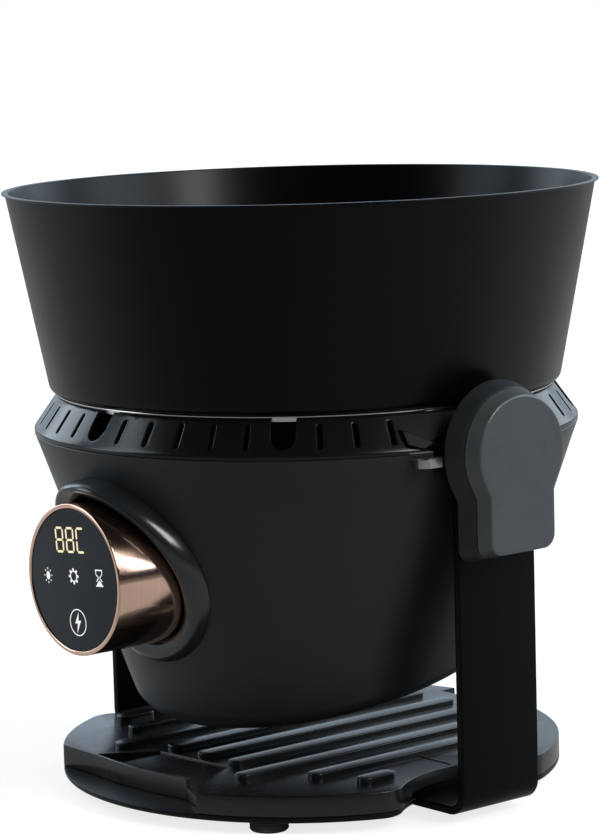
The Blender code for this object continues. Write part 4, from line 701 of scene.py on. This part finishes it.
# across the collar the lift is shoulder + (1 - shoulder) sin up to the crest,
# then a quarter ellipse down to the cone; the rise swings as sin(angle) round the knob
def collarPart(s, turns=160):
    a = np.linspace(0, 2 * np.pi, turns, endpoint=False)[:, None]
    t = np.radians(np.linspace(0, 90, 13))
    inner = s["crest"] * np.linspace(0.08, 1, 13)
    outer = s["crest"] + (1 - s["crest"]) * np.sin(t[1:])
    across = np.concatenate([[0, 0, 0.01, 0.035], inner, outer])[None, :]
    shoulder = s["shoulder"]
    rising = shoulder + (1 - shoulder) * np.sin(np.pi / 2 * inner / s["crest"])
    start = [0, shoulder - 0.06, shoulder - 0.01, shoulder + 0.02]
    lift = np.concatenate([start, rising, np.cos(t[1:])])[None, :]
    radius = s["groove"] + (s["collar"] - s["groove"]) * across
    proud = s["gap"] + (s["rise"] + s["swing"] * np.sin(a)) * lift
    x, z = radius * np.cos(a), s["height"] + radius * np.sin(a)
    cone = shell["rim"] - shell["slope"] * (shell["height"] - z)
    return gridPart(np.stack([x, -np.sqrt(cone ** 2 - x ** 2) - proud, z], axis=-1), True, True)


newPiece("knobCollar", [collarPart(knob)], looks["collar"], "head", ["collar"], 50.0)


def knobParts(s):
    inner = s["radius"] - s["wall"]
    corners = [(s["radius"], s["face"]), (s["radius"], s["rear"]), (inner, s["rear"]), (inner, s["face"])]
    profile = rounded(corners, [s["edge"], 0.6, 0.3, 0.7], closed=True, steps=6)
    return [revolveY(profile, 160, s["height"], True)]


newPiece("knobShell", knobParts(knob), looks["copper"], "knob", ["knob_ring"], 40.0)


def glassPart(s):
    front, rear = s["glassFront"], s["glassRear"]
    corners = [(0, front), (s["glass"], front), (s["glass"], rear), (0, rear)]
    return revolveY(rounded(corners, [0, 0.35, 0.2, 0], steps=4), 128, s["height"])


newPiece("displayFace", [glassPart(knob)], looks["glass"], "head", ["display_glass"])


signBack, signFront = knob["glassFront"] + 0.1, knob["glassFront"] - 0.06


# (u, w) on the display turns by the display's angle and goes to (x, y, height + z)
def onDisplay(outline, shift, y):
    turn = math.radians(knob["displayTurn"])
    u, w = outline[:, 0] + shift[0], outline[:, 1] + shift[1]
    x, z = u * math.cos(turn) - w * math.sin(turn), u * math.sin(turn) + w * math.cos(turn)
    return np.column_stack([x, np.full(len(x), y), knob["height"] + z])


# a flat sign that starts inside the glass and stands 0.06 mm proud of it
def signPart(outline, shift=(0, 0)):
    rows = [onDisplay(outline, shift, y) for y in (signBack, signFront)]
    return gridPart(np.stack(rows), False, True, (0, -1))


# a band between two closed outlines with the same count
def bandParts(outer, inner, shift=(0, 0)):
    loops = ((outer, signBack), (outer, signFront), (inner, signFront), (inner, signBack))
    return gridPart(np.stack([onDisplay(loop, shift, y) for loop, y in loops]), True, True)


digits = {"wide": 5.5, "tall": 11.5, "stroke": 1.1, "gap": 0.3, "places": (-9.0, -0.6, 7.8), "height": 19.4,
          "lit": ("abcdefg", "abcdefg", "adef")}


# one bar of a digit: a hexagon from one end to the other with pointed ends
def segment(start, end, stroke, gap):
    start, end = np.array(start, float), np.array(end, float)
    along = (end - start) / np.linalg.norm(end - start)
    across = np.array([-along[1], along[0]]) * stroke / 2
    start, end = start + along * gap, end - along * gap
    point = along * stroke / 2
    return np.array([start, start + point - across, end - point - across,
                     end, end - point + across, start + point + across])


def digitParts(s):
    parts = []
    w, h = s["wide"] / 2, s["tall"] / 2
    bars = {"a": ((-w, h), (w, h)), "b": ((w, h), (w, 0)), "c": ((w, 0), (w, -h)), "d": ((-w, -h), (w, -h)),
            "e": ((-w, 0), (-w, -h)), "f": ((-w, h), (-w, 0)), "g": ((-w, 0), (w, 0))}
    for place, lit in zip(s["places"], s["lit"]):
        for key in lit:
            parts.append(signPart(segment(*bars[key], s["stroke"], s["gap"]), (place, s["height"])))
    return parts


newPiece("displayDigits", digitParts(digits), looks["digits"], "head")

icons = {"sun": (-21.0, 1.6), "gear": (0.0, 1.8), "glass": (20.6, 1.6), "bolt": (0.3, -20.7)}


def sunParts(at):
    parts = [signPart(arcPoints((0, 0), 1.5, 0, 345, 24) * np.array([1.0, 1.35]), at)]
    for k in range(8):
        turn = math.radians(45 * k)
        c, n = math.cos(turn), math.sin(turn)
        ray = segment((2.3 * c, 2.8 * n), (3.3 * c, 4.0 * n), 0.5, 0)
        parts.append(signPart(ray, at))
    return parts


# the outline's radius steps between tooth tip and root eight times round
def gearParts(at):
    a = np.radians(np.arange(0, 360, 3.75))
    tooth = np.clip(2.5 * np.cos(8 * a), -1, 1)
    outer = (3.35 + 0.6 * tooth)[:, None] * np.stack([np.cos(a), np.sin(a)], axis=1)
    inner = 2.2 * np.stack([np.cos(a), np.sin(a)], axis=1)
    return [bandParts(outer, inner, at)]


def hourglassParts(at):
    x, y, neck = 2.4, 3.8, 0.35
    bars = [((-x - 0.5, height), (x + 0.5, height), 0.65) for height in (y, -y)]
    for side in (-1, 1):
        bars += [((side * x, y), (side * x, 1.7), 0.5), ((side * x, 1.75), (side * neck, 0.15), 0.5),
                 ((side * neck, 0.1), (side * x, -1.8), 0.5)]
    sand = np.array([(-2.3, -3.5), (2.3, -3.5), (1.2, -2.0), (0, -1.1), (-1.2, -2.0)])
    return [signPart(segment(*bar, 0), at) for bar in bars] + [signPart(sand, at)]


def boltParts(at):
    a = np.radians(np.arange(0, 360, 6))
    circle = np.stack([np.cos(a), np.sin(a)], axis=1)
    flash = np.array([(1.0, 5.0), (-2.4, -0.5), (-0.3, -0.5), (-1.3, -5.2), (2.4, 0.9), (0.3, 0.9)])
    return [bandParts(circle * 6.6, circle * 6.1, at), signPart(flash, at)]


iconParts = sunParts(icons["sun"]) + gearParts(icons["gear"])
iconParts += hourglassParts(icons["glass"]) + boltParts(icons["bolt"])
newPiece("displayIcons", iconParts, looks["icons"], "head")
print("knob and display made")


# Arms

arm = {"inner": 134.7, "thick": 4.05, "half": 25.0, "bend": 6.5, "low": 4.6, "foot": 84.0, "pivot": 182.0,
       "edge": 0.7, "bush": 7.3, "boreNear": 130.0, "boreFar": 142.0, "screwX": 93.0, "screwY": 12.0,
       "screw": 1.9, "head": 3.5, "headThick": 1.9}


# section across the bar: a rectangle with rounded corners,
# u through the thickness and v across the width
def barSection(thick, half, edge):
    corners = [(0, -half), (thick, -half), (thick, half), (0, half)]
    return rounded(corners, edge, closed=True, steps=4)


# the bar's middle runs along the floor, round the bend and up; over the pivot its half width follows a circle
def armPart(s, side):
    centre = (s["inner"] - s["bend"], s["low"] + s["thick"] + s["bend"])
    place = [((s["foot"], s["low"] + s["thick"]), (0, -1))]
    for t in np.radians(np.linspace(-90, 0, 17)):
        c, n = math.cos(t), math.sin(t)
        place.append(((centre[0] + s["bend"] * c, centre[1] + s["bend"] * n), (c, n)))
    rows = []
    for (x, z), (nx, nz) in place:
        u, v = barSection(s["thick"], s["half"], s["edge"]).T
        rows.append(np.stack([side * (x + nx * u), v, z + nz * u], axis=1))
    for t in np.radians(np.linspace(0, 84, 22)):
        u, v = barSection(s["thick"], s["half"] * math.cos(t), s["edge"]).T
        height = np.full(len(u), s["pivot"] + s["half"] * math.sin(t))
        rows.append(np.stack([side * (s["inner"] + u), v, height], axis=1))
    return gridPart(np.stack(rows), False, True, (0, -1))


def makeArm(s, side, tag, node):
    made = addObject("arm" + tag, meshOf("arm" + tag, [armPart(s, side)]))
    near, far = (side * s["boreNear"], 0, s["pivot"]), (side * s["boreFar"], 0, s["pivot"])
    cutters = [rodPart(near, far, s["bush"], 48)]
    for y in (-s["screwY"], s["screwY"]):
        x = side * s["screwX"]
        cutters.append(rodPart((x, y, s["low"] - 2), (x, y, s["low"] + s["headThick"]), s["head"], 32))
        cutters.append(rodPart((x, y, s["low"] + 0.5), (x, y, s["low"] + 8), s["screw"], 24))
    carve(made, cutters[:1] + cutters[1::2])
    carve(made, cutters[2::2])
    return finishPiece(made, looks["arm"], "stand", [node])


makeArm(arm, 1, "Right", "strap_right")
makeArm(arm, -1, "Left", "strap_left")


# Pivot housings

housing = {"round": 33.75, "tailHalf": 25.8, "tailDrop": 52.5, "corner": 7.0, "wall": 2.2, "back": 139.05,
           "backWall": 1.2, "split": 149.25, "capStart": 149.55, "face": 157.5, "splitShare": 0.89,
           "faceShare": 0.82, "rimShare": 0.785, "edge": 1.1, "backEdge": 0.9, "splitEdge": 0.35,
           "hub": 9.3, "pivot": 182.0, "lower": 1.4, "throat": 10.0}


# round head over a narrower tail with round lower corners, all scaled by share and stepped in by inset
def housingLoop(s, share, inset):
    radius = s["round"] * share - inset
    half = s["tailHalf"] * share - inset
    low = -s["tailDrop"] * (1 + share) / 2 + inset
    corner = s["corner"] - inset
    neck = math.degrees(math.acos(half / radius))
    head = arcPoints((0, 0), radius, -neck, 180 + neck, 61)
    left = arcPoints((-half + corner, low + corner), corner, 180, 270, 13)
    right = arcPoints((half - corner, low + corner), corner, 270, 360, 13)
    return np.vstack([head[3:-3], [head[-1] + (0, -1.2), head[-1] + (0, -s["throat"])], left, right,
                      [head[0] + (0, -s["throat"]), head[0] + (0, -1.2)]])


def housingRow(s, side, share, inset, x):
    loop = housingLoop(s, share, inset)
    return np.stack([np.full(len(loop), side * x), loop[:, 0], s["pivot"] - s["lower"] + loop[:, 1]], axis=1)


def hubRow(s, side, x):
    loop = housingLoop(s, 1.0, 0)
    loop = loop / np.linalg.norm(loop, axis=1, keepdims=True) * s["hub"]
    return np.stack([np.full(len(loop), side * x), loop[:, 0], s["pivot"] + loop[:, 1]], axis=1)


# outside from the back edge to the split, then back inside to the hub's hole
def housingBase(s, side):
    back, split, inside, edge = s["back"], s["split"], s["back"] + s["backWall"], s["backEdge"]
    shareAt = lambda x: 1 + (s["splitShare"] - 1) * (x - back) / (split - back)
    profile = [(back, edge)]
    profile += [(back + edge * (1 - math.cos(t)), edge * (1 - math.sin(t)))
                for t in np.linspace(0.2, math.pi / 2, 4)]
    profile += [(x, 0) for x in np.linspace(back + 2, split - 0.4, 5)]
    profile += [(split, s["splitEdge"]), (split, s["wall"])]
    rows = [hubRow(s, side, back)] + [housingRow(s, side, shareAt(x), inset, x) for x, inset in profile]
    rows += [housingRow(s, side, 1.0, s["wall"], inside), hubRow(s, side, inside)]
    return gridPart(np.stack(rows), True, True)


# a cup: inner floor, inner wall, outer wall, then a quarter-ellipse edge onto the face
def housingCap(s, side):
    start, face, near, far = s["capStart"], s["face"], s["splitShare"], s["faceShare"]
    shareAt = lambda x: near + (far - near) * (x - start) / (face - start - s["edge"])
    profile = [(far, s["wall"], face - s["wall"]), (near, s["wall"], start), (near, s["splitEdge"], start)]
    profile += [(shareAt(x), 0, x) for x in np.linspace(start + 0.4, face - s["edge"], 4)]
    for t in np.linspace(0.25, math.pi / 2, 7):
        inset = (far - s["rimShare"]) * s["round"] * (1 - math.cos(t)) * 1.2
        profile.append((far, inset, face - s["edge"] * (1 - math.sin(t))))
    profile.append((far, inset + 1.0, face))
    rows = [housingRow(s, side, share, inset, x) for share, inset, x in profile]
    return gridPart(np.stack(rows), False, True, (0, -1))


leverSlot = ((138.75, -31.3, 171.5), (142.05, -25.5, 181.1))  # the way out for the lever

for side, tag in ((1, "right"), (-1, "left")):
    title = tag.capitalize()
    base = addObject("housingBase" + title, meshOf("housingBase" + title, [housingBase(housing, side)]))
    if side > 0:
        carve(base, [boxPart(*leverSlot)])
    finishPiece(base, looks["shell"], "stand", ["housing_base_" + tag])
    newPiece("housingCap" + title, [housingCap(housing, side)], looks["housing"], "stand",
             ["housing_cap_" + tag])
print("arms and housings made")


# Grill plate and base disc

plate = {"radius": 127.2, "middle": -2.6, "low": 8.9, "top": 19.3, "lip": 0.6, "scallop": 66.0,
         "scallopX": 167.0, "corner": 14.0, "notchHalf": 25.5, "notchY": 111.8, "notchRear": 140.0,
         "wall": 1.8, "step": 1.0, "rear": -75.4, "slope": 0.13, "outside": -142.0, "side": 150.0,
         "front": ((-78.9, -105.0), (-46.0, -106.6), (-23.7, -108.9), (-9.2, -109.0), (3.1, -108.4),
                   (15.8, -106.9), (28.1, -105.7)),
         "lipLine": ((47.3, -113.5), (57.2, -127.2)),
         "recess": ((59.9, -142.5), (22.6, -75.1), (-28.0, -79.0), (-47.1, -105.1)),
         "padX": 79.7, "padHalf": 29.3, "padTop": 12.25, "seatX": 83.7, "seatHalf": 25.3, "seatTop": 8.95}


# a circle with a scallop on each side; the corner arcs' centre lies radius - corner from the middle
# and scallop + corner from the scallop's centre
def baseOutline(s):
    reach, span, bite = s["radius"] - s["corner"], s["scallop"] + s["corner"], s["scallopX"]
    x = (bite ** 2 - span ** 2 + reach ** 2) / (2 * bite)
    y = math.sqrt(reach ** 2 - x ** 2)
    out, back = math.degrees(math.atan2(y, x)), math.degrees(math.atan2(y, bite - x))
    half = np.vstack([arcPoints((x, -y), s["corner"], -out, back, 15),
                      arcPoints((bite, 0), s["scallop"], 180 + back, 180 - back, 50)[1:],
                      arcPoints((x, y), s["corner"], -back, out, 15)[1:],
                      arcPoints((0, 0), s["radius"], out, 180 - out, 90)[1:-1]])
    return np.vstack([half, -half]) + (0, s["middle"])


# smooth curve through a line's points: each stretch is the cubic that keeps its neighbours' direction
def throughPoints(line, steps=5):
    line = np.array(line, float)
    padded = np.vstack([2 * line[0] - line[1], line, 2 * line[-1] - line[-2]])
    t = np.linspace(0, 1, steps, endpoint=False)[:, None]
    rows = [0.5 * (2 * b + (c - a) * t + (2 * a - 5 * b + 4 * c - d) * t ** 2
                   + (3 * b - a - 3 * c + d) * t ** 3)
            for a, b, c, d in zip(padded, padded[1:], padded[2:], padded[3:])]
    return np.vstack(rows + [line[-1:]])


beyond = 4.0  # how far a cutter reaches past what it cuts


# floor height falls evenly toward the front: z = top - step - slope (rear - y)
def recessPart(s):
    line = throughPoints(s["front"][2:]) + (0, s["wall"])
    mouth = line[-1, 0] - s["wall"] / 2
    line = np.vstack([line[line[:, 0] < mouth - 1], [(mouth, line[-1, 1])]])
    outline = np.vstack([s["recess"], line, [(mouth, s["recess"][0][1])]])
    floor = s["top"] - s["step"] - s["slope"] * (s["rear"] - outline[:, 1])
    ceiling = np.full(len(outline), s["top"] + beyond)
    rows = [np.column_stack([outline, z]) for z in (floor, ceiling)]
    return gridPart(np.stack(rows), False, True, (0, -1))


# reads a built object back as a part and takes the object away
def partOf(made):
    points = np.array([point.co for point in made.data.vertices]) / mm
    faces = [list(face.vertices) for face in made.data.polygons]
    bpy.data.objects.remove(made, do_unlink=True)
    return points, faces


def strapBoxes(near, half, low, high):
    far = plate["side"]
    return [boxPart((near, -half, low), (far, half, high)), boxPart((-far, -half, low), (-near, half, high))]


def baseSlab(levels):
    return addObject("slab", meshOf("slab", [slabPart(baseOutline(plate), levels)]))


def plateSlab(s):
    made = baseSlab(softLevels(s["low"], s["top"], 0.4, s["lip"], 3))
    low, high, outside = s["low"] - beyond, s["top"] + beyond, s["outside"]
    line = np.vstack([throughPoints(s["front"]), s["lipLine"]])  # the wall, then the edge right of the spout
    front = np.vstack([line, [(line[-1, 0], outside), (line[0, 0], outside)]])[::-1]
    notch = boxPart((-s["notchHalf"], s["notchY"], low), (s["notchHalf"], s["notchRear"], high))
    carve(made, [slabPart(front, [(low, 0), (high, 0)]), notch])
    carve(made, [recessPart(s)])
    carve(made, strapBoxes(s["padX"], s["padHalf"], low, s["padTop"]))
    softenEdges(made, 0.45, 40.0)
    bakeShape(made)
    return partOf(made)


rib = {"pitch": 24.0, "half": 4.5, "rise": 3.3, "front": -75.8, "rear": 96.0, "soft": 0.8, "sunk": 1.5,
       "crown": 0.25,
       "shares": ((0, 1.0, 1.0), (1, 1.0, 1.0), (2, 1.2, 0.95), (3, 0.85, 0.83)),
       "short": (0.42, 0.71), "shortIndex": 4}


def ribRuns(s):
    runs = []
    for index, front, rear in s["shares"]:
        for side in ((1,) if index == 0 else (-1, 1)):
            runs.append((side * index * s["pitch"], s["front"] * front, s["rear"] * rear))
    near, far = (share * s["front"] for share in s["short"])
    for side in (-1, 1):
        x = side * s["shortIndex"] * s["pitch"]
        runs += [(x, far, near), (x, -near, -far)]
    return runs


# a stadium rises straight, then its edge follows a quarter circle onto a crowned top
def ribPart(s, x, low, high):
    top, soft, crown = plate["top"] + s["rise"], s["soft"], s["crown"]
    levels = [(plate["top"] - s["sunk"], 0.0), (top - soft, 0.0)]
    levels += [(top - crown - (soft - crown) * (1 - math.sin(t)), soft * (1 - math.cos(t)))
               for t in np.linspace(0.2, math.pi / 2, 6)]
    levels += [(top - 0.12, soft + 1.0), (top, s["half"] - 0.6)]
    front = arcPoints((x, low + s["half"]), s["half"], 180, 360, 17)
    rear = arcPoints((x, high - s["half"]), s["half"], 0, 180, 17)
    return slabPart(np.vstack([front, rear]), levels)


plateParts = [plateSlab(plate)] + [ribPart(rib, *run) for run in ribRuns(rib)]
ridge = {"outline": ((68.0, 2.9), (99.0, 2.9), (99.0, 3.9), (68.0, 3.9)),
         "sunk": 0.4, "proud": 0.5, "soft": 0.3}
ridgeLevels = softLevels(plate["top"] - ridge["sunk"], plate["top"] + ridge["proud"], 0, ridge["soft"])
plateParts.append(slabPart(np.array(ridge["outline"]), ridgeLevels))
newPiece("grillPlate", plateParts, looks["grill"], "grill", ["grill_plate"], 38.0)

disc = {"low": 5.6, "high": 8.6, "edge": 2.0, "pin": 3.0, "pinY": 70.0, "pinTop": 11.6,
        "padEnd": 99.5, "padHalf": 29.0, "padIn": 0.3}


def discPart(s):
    made = baseSlab(softLevels(s["low"], s["high"], s["edge"], 0.3, 5))
    low, high, half = s["high"] - s["padIn"], plate["padTop"] - s["padIn"], s["padHalf"]
    for side in (-1, 1):
        x = sorted((side * (plate["padX"] + s["padIn"]), side * s["padEnd"]))
        carve(made, [boxPart((x[0], -half, low), (x[1], half, high))], "UNION")
    carve(made, strapBoxes(plate["seatX"], plate["seatHalf"], s["low"] - beyond, plate["seatTop"]))
    return partOf(made)


discParts = [discPart(disc)]
pinLevels = softLevels(disc["low"] + 1, disc["pinTop"], 0.1, 0.6)
for y in (-disc["pinY"], disc["pinY"]):
    discParts.append(slabPart(arcPoints((0, y), disc["pin"], 0, 345, 24), pinLevels))
newPiece("baseDisc", discParts, looks["base"], "stand", ["base_disc"], 38.0)

foot = {"x": 72.8, "y": 89.1, "radius": 9.5, "high": 5.3, "peg": 2.5, "pegTop": 8.3}


# stepped profile with two fine grooves round the side, turned about the foot's own axis
def footPart(s, x, y):
    r, groove = s["radius"], s["radius"] - 0.4
    corners = [(0, 0), (r - 0.8, 0), (r, 0.9), (r, 1.7), (groove, 2.0), (r, 2.3), (r, 3.3), (groove, 3.6),
               (r, 3.9), (r, s["high"]), (s["peg"], s["high"]), (s["peg"], s["pegTop"]), (0, s["pegTop"])]
    points, faces = revolve(rounded(corners, 0.25, steps=2), 64)
    return points + np.array([x, y, 0]), faces


for sideX, tagX in ((1, "right"), (-1, "left")):
    for sideY, tagY in ((-1, "front"), (1, "rear")):
        made = footPart(foot, sideX * foot["x"], sideY * foot["y"] + plate["middle"])
        newPiece("foot" + tagY.capitalize() + tagX.capitalize(), [made], looks["rubber"], "stand",
                 [f"rubber_foot_{tagY}_{tagX}"])
print("base made")


# Heater under the pot

heater = {"flange": 122.8, "radius": 119.0, "floorRadius": 106.0, "top": 200.6, "depth": 23.0, "wall": 1.2,
          "tube": 3.3, "inner": 34.0, "outer": 88.0, "turns": 2.5, "height": 185.3, "tail": 16.0,
          "tailBend": 8.25, "holeLow": 170.0, "holeHigh": 182.0, "holeGap": 0.6}


def dishProfile(s):
    low, w = s["top"] - s["depth"], s["wall"]
    corners = [(0, low), (s["floorRadius"] - w, low), (s["radius"] - w, s["top"]), (s["flange"], s["top"]),
               (s["flange"], s["top"] - w), (s["radius"], s["top"] - w), (s["floorRadius"], low - w),
               (0, low - w)]
    return rounded(corners, [0, 3.0, 0.8, 0.4, 0.4, 0.8, 3.0, 0], steps=4)


# flat spiral: radius grows evenly with the turn, both ends bend down through the dish
def spiralPath(s):
    t = np.linspace(0, 1, 220)
    a, r = 2 * np.pi * s["turns"] * t, s["inner"] + (s["outer"] - s["inner"]) * t
    path = np.stack([r * np.cos(a), r * np.sin(a), np.full_like(t, s["height"])], axis=1)
    upward, ends = np.array([0, 0, 1]), []
    for index, sign in ((0, -1), (-1, 1)):
        x, y, z = path[index]
        along = np.array([-y, x, 0]) / math.hypot(x, y) * sign
        b = np.radians(np.linspace(10, 90, 9))[:, None]
        bend = path[index] + along * s["tailBend"] * np.sin(b) - upward * s["tailBend"] * (1 - np.cos(b))
        drop = bend[-1] - upward * np.linspace(2, s["tail"] - s["tailBend"], 4)[:, None]
        ends.append(np.vstack([bend, drop]))
    return np.vstack([ends[0][::-1], path, ends[1]])


dish = addObject("heatDish", meshOf("heatDish", [revolve(dishProfile(heater), 160)]))
tailSpots = spiralPath(heater)[[0, -1]]
hole = heater["tube"] + heater["holeGap"]
carve(dish, [rodPart((x, y, heater["holeLow"]), (x, y, heater["holeHigh"]), hole, 32)
             for x, y, z in tailSpots])
finishPiece(dish, looks["dish"], "head", ["heat_dish"])
newPiece("heatingCoil", [tubePart(spiralPath(heater), heater["tube"])], looks["element"], "head",
         ["heating_element"], 50.0)
print("heater made")


# Small parts taken over from the frame with softer edges

softened = {
    "lock_lever": ("lockLever", "chrome", "lever", "chrome", 0.3),
    "keeper": ("leverKeeper", "arm", "head", "ring", 0.4),
    "power_inlet": ("powerInlet", "inner", "head", "inner_plastic", 0.4),
    "bottom_cover": ("bottomCover", "shell", "head", "shell", 0.3),
}
for node, (name, look, body, slotName, width) in softened.items():
    softCopy(name, node, looks[look], body, width)

pair = ("right", "left")
kept = {
    "steel": [f"strap_screw_{k}" for k in range(1, 5)] + [f"cover_screw_{k}" for k in range(1, 5)]
    + [f"{part}_{side}" for part in ("pivot_shaft", "shaft_nut") for side in pair]
    + [f"element_clip_{k}" for k in range(1, 4)] + ["motor_bracket"],
    "brass": [f"pivot_bush_{side}" for side in pair],
    "nylon": [f"spacer_washer_{side}" for side in pair],
    "pad": ["insulation_pad"],
    "motor": ["fan_motor", "thermostat"],
    "board": ["control_board"],
    "inner": ["knob_core", "cooling_fan"],
}
for look, nodes in kept.items():
    for node in nodes:
        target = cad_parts[node]
        if not target.material_slots:
            target.data.materials.append(None)
        for materialSlot in target.material_slots:
            materialSlot.link = "OBJECT"
            materialSlot.material = looks[look]
print("small parts dressed")


# Floor, light and camera

studio = {"floor": 40.0, "floorTone": (0.30, 0.30, 0.30), "paperGlow": 0.78, "farGlow": 0.16,
          "glossGlow": 0.22, "facing": (0.7642, -0.6449, 0.0), "paperFade": (0.10, 0.30),
          "ambient": 0.5, "roomTint": (0.70, 0.85, 1.0, 1.0), "roomFade": (-0.05, 0.75), "roomDark": 0.02}


# paper that is lit like any floor, plus a glow that makes it white to the camera
# and, near the object, to gloss
def makeFloor(s):
    half = s["floor"] / mm / 2
    x = np.linspace(-half, half, 9)
    grid = np.stack(np.broadcast_arrays(x[:, None], x[None, :], -0.02), axis=-1)
    made = addObject("studioFloor", meshOf("studioFloor", [gridPart(grid)]))
    look = LookMaker("floorPaper", s["floorTone"], 0.9, 0.0, {"Specular IOR Level": 0.1})
    grain = look.noise(900.0, 2.0)
    look.colours(look.spread(grain, 0, 1), shade(s["floorTone"], 0.985), s["floorTone"])
    look.bump(grain, 0.1, 0.05)
    path = look.node("ShaderNodeLightPath").outputs
    ahead = look.node("ShaderNodeVectorMath", operation="DOT_PRODUCT")
    look.tree.links.new(look.place, ahead.inputs[0])
    ahead.inputs[1].default_value = s["facing"]
    near = look.spread(ahead.outputs["Value"], 1.0, 0.0, *s["paperFade"])
    away = look.node("ShaderNodeVectorMath", {"Vector": look.place}, operation="LENGTH").outputs["Value"]
    glow = look.math("ADD", s["paperGlow"], look.spread(away, 0.0, s["farGlow"], 0.5, 2.5))
    gloss = look.math("MULTIPLY", look.math("MULTIPLY", path["Is Glossy Ray"], near), s["glossGlow"])
    direct = look.math("MAXIMUM", path["Is Camera Ray"], path["Is Transmission Ray"])
    seen = look.math("MULTIPLY", direct, glow)
    look.shader.inputs["Emission Color"].default_value = (1, 1, 1, 1)
    look.tree.links.new(look.math("MAXIMUM", seen, gloss), look.shader.inputs["Emission Strength"])
    made.data.materials.append(look.material)


makeFloor(studio)


# white to the camera; to gloss a white backdrop behind the object that fades to a dark room on the other side
def makeWorld(s):
    world = bpy.data.worlds.new("studioWorld")
    bpy.context.scene.world = world
    world.use_nodes = True
    tree = world.node_tree

    def add(kind, links=(), **settings):
        made = tree.nodes.new(kind)
        for key, value in settings.items():
            setattr(made, key, value)
        for slot, source in links:
            tree.links.new(source, made.inputs[slot])
        return made

    path = add("ShaderNodeLightPath").outputs
    outward = add("ShaderNodeTexCoord").outputs["Generated"]
    ahead = add("ShaderNodeVectorMath", [(0, outward)], operation="DOT_PRODUCT")
    ahead.inputs[1].default_value = tuple(-part for part in s["facing"])
    room = add("ShaderNodeMapRange", [("Value", ahead.outputs["Value"])], interpolation_type="SMOOTHSTEP")
    for key, value in zip(("From Min", "From Max", "To Min", "To Max"), (*s["roomFade"], s["roomDark"], 1.0)):
        room.inputs[key].default_value = value
    direct = [(0, path["Is Camera Ray"]), (1, path["Is Transmission Ray"])]
    seen = add("ShaderNodeMath", direct, operation="MAXIMUM")
    soft, shiny, plain = (add("ShaderNodeBackground") for _ in range(3))
    soft.inputs["Strength"].default_value = s["ambient"]
    soft.inputs["Color"].default_value = (1, 1, 1, 1)
    shiny.inputs["Color"].default_value = s["roomTint"]
    tree.links.new(room.outputs["Result"], shiny.inputs["Strength"])
    plain.inputs["Color"].default_value = (1, 1, 1, 1)
    lights = [(0, path["Is Glossy Ray"]), (1, soft.outputs[0]), (2, shiny.outputs[0])]
    inner = add("ShaderNodeMixShader", lights)
    outer = add("ShaderNodeMixShader", [(0, seen.outputs[0]), (1, inner.outputs[0]), (2, plain.outputs[0])])
    tree.links.new(outer.outputs[0], tree.nodes["World Output"].inputs["Surface"])


makeWorld(studio)

view = {"place": (1.256565, -1.060333, 0.409415), "forward": (-0.758385, 0.637487, -0.135878),
        "roll": -0.0278, "lens": 140.92}


def makeCamera(s):
    forward = Vector(s["forward"]).normalized()
    right = forward.cross(Vector((0, 0, 1))).normalized()
    up = right.cross(forward)
    c, n = math.cos(s["roll"]), math.sin(s["roll"])
    across, upward = right * c + up * n, up * c - right * n
    data = bpy.data.cameras.new("photoCamera")
    data.lens = s["lens"]
    made = bpy.data.objects.new("photoCamera", data)
    bpy.context.scene.collection.objects.link(made)
    turn = Matrix((across, upward, -forward)).transposed().to_4x4()
    made.matrix_world = Matrix.Translation(Vector(s["place"])) @ turn
    bpy.context.scene.camera = made


makeCamera(view)

lamps = {  # azimuth and elevation in degrees round the object, distance and size in metres
    "keyPanel": {"azimuth": 8, "elevation": 32, "distance": 1.5, "size": (0.4, 0.7), "power": 10.0,
                 "tint": (1, 1, 1)},
    "rightPanel": {"azimuth": 46, "elevation": 24, "distance": 1.4, "size": (0.9, 0.8), "power": 9.0,
                   "tint": (0.84, 0.93, 1)},
    "rimLeft": {"azimuth": 190, "elevation": 24, "distance": 1.4, "size": (0.6, 0.9), "power": 4.0,
                "tint": (0.78, 0.90, 1)},
    "rimRight": {"azimuth": 92, "elevation": 24, "distance": 1.4, "size": (0.6, 0.9), "power": 3.0,
                 "tint": (0.78, 0.90, 1)},
    "leftPanel": {"azimuth": -128, "elevation": 20, "distance": 1.4, "size": (0.5, 1.1), "power": 6.0,
                  "tint": (0.80, 0.91, 1)},
}


# place = aim + distance (cos e cos a, cos e sin a, sin e)
def makeLamps(setups, aim):
    for name, s in setups.items():
        data = bpy.data.lights.new(name, "AREA")
        data.shape, data.energy, data.color = "RECTANGLE", s["power"], s["tint"]
        data.size, data.size_y = s["size"]
        made = bpy.data.objects.new(name, data)
        bpy.context.scene.collection.objects.link(made)
        a, e = math.radians(s["azimuth"]), math.radians(s["elevation"])
        outward = Vector((math.cos(e) * math.cos(a), math.cos(e) * math.sin(a), math.sin(e)))
        place = aim + s["distance"] * outward
        turn = (aim - place).to_track_quat("-Z", "Y").to_matrix().to_4x4()
        made.matrix_world = Matrix.Translation(place) @ turn


makeLamps(lamps, Vector((0, 0, 0.16)))
bpy.context.scene.view_settings.view_transform = "Standard"
print("studio ready")
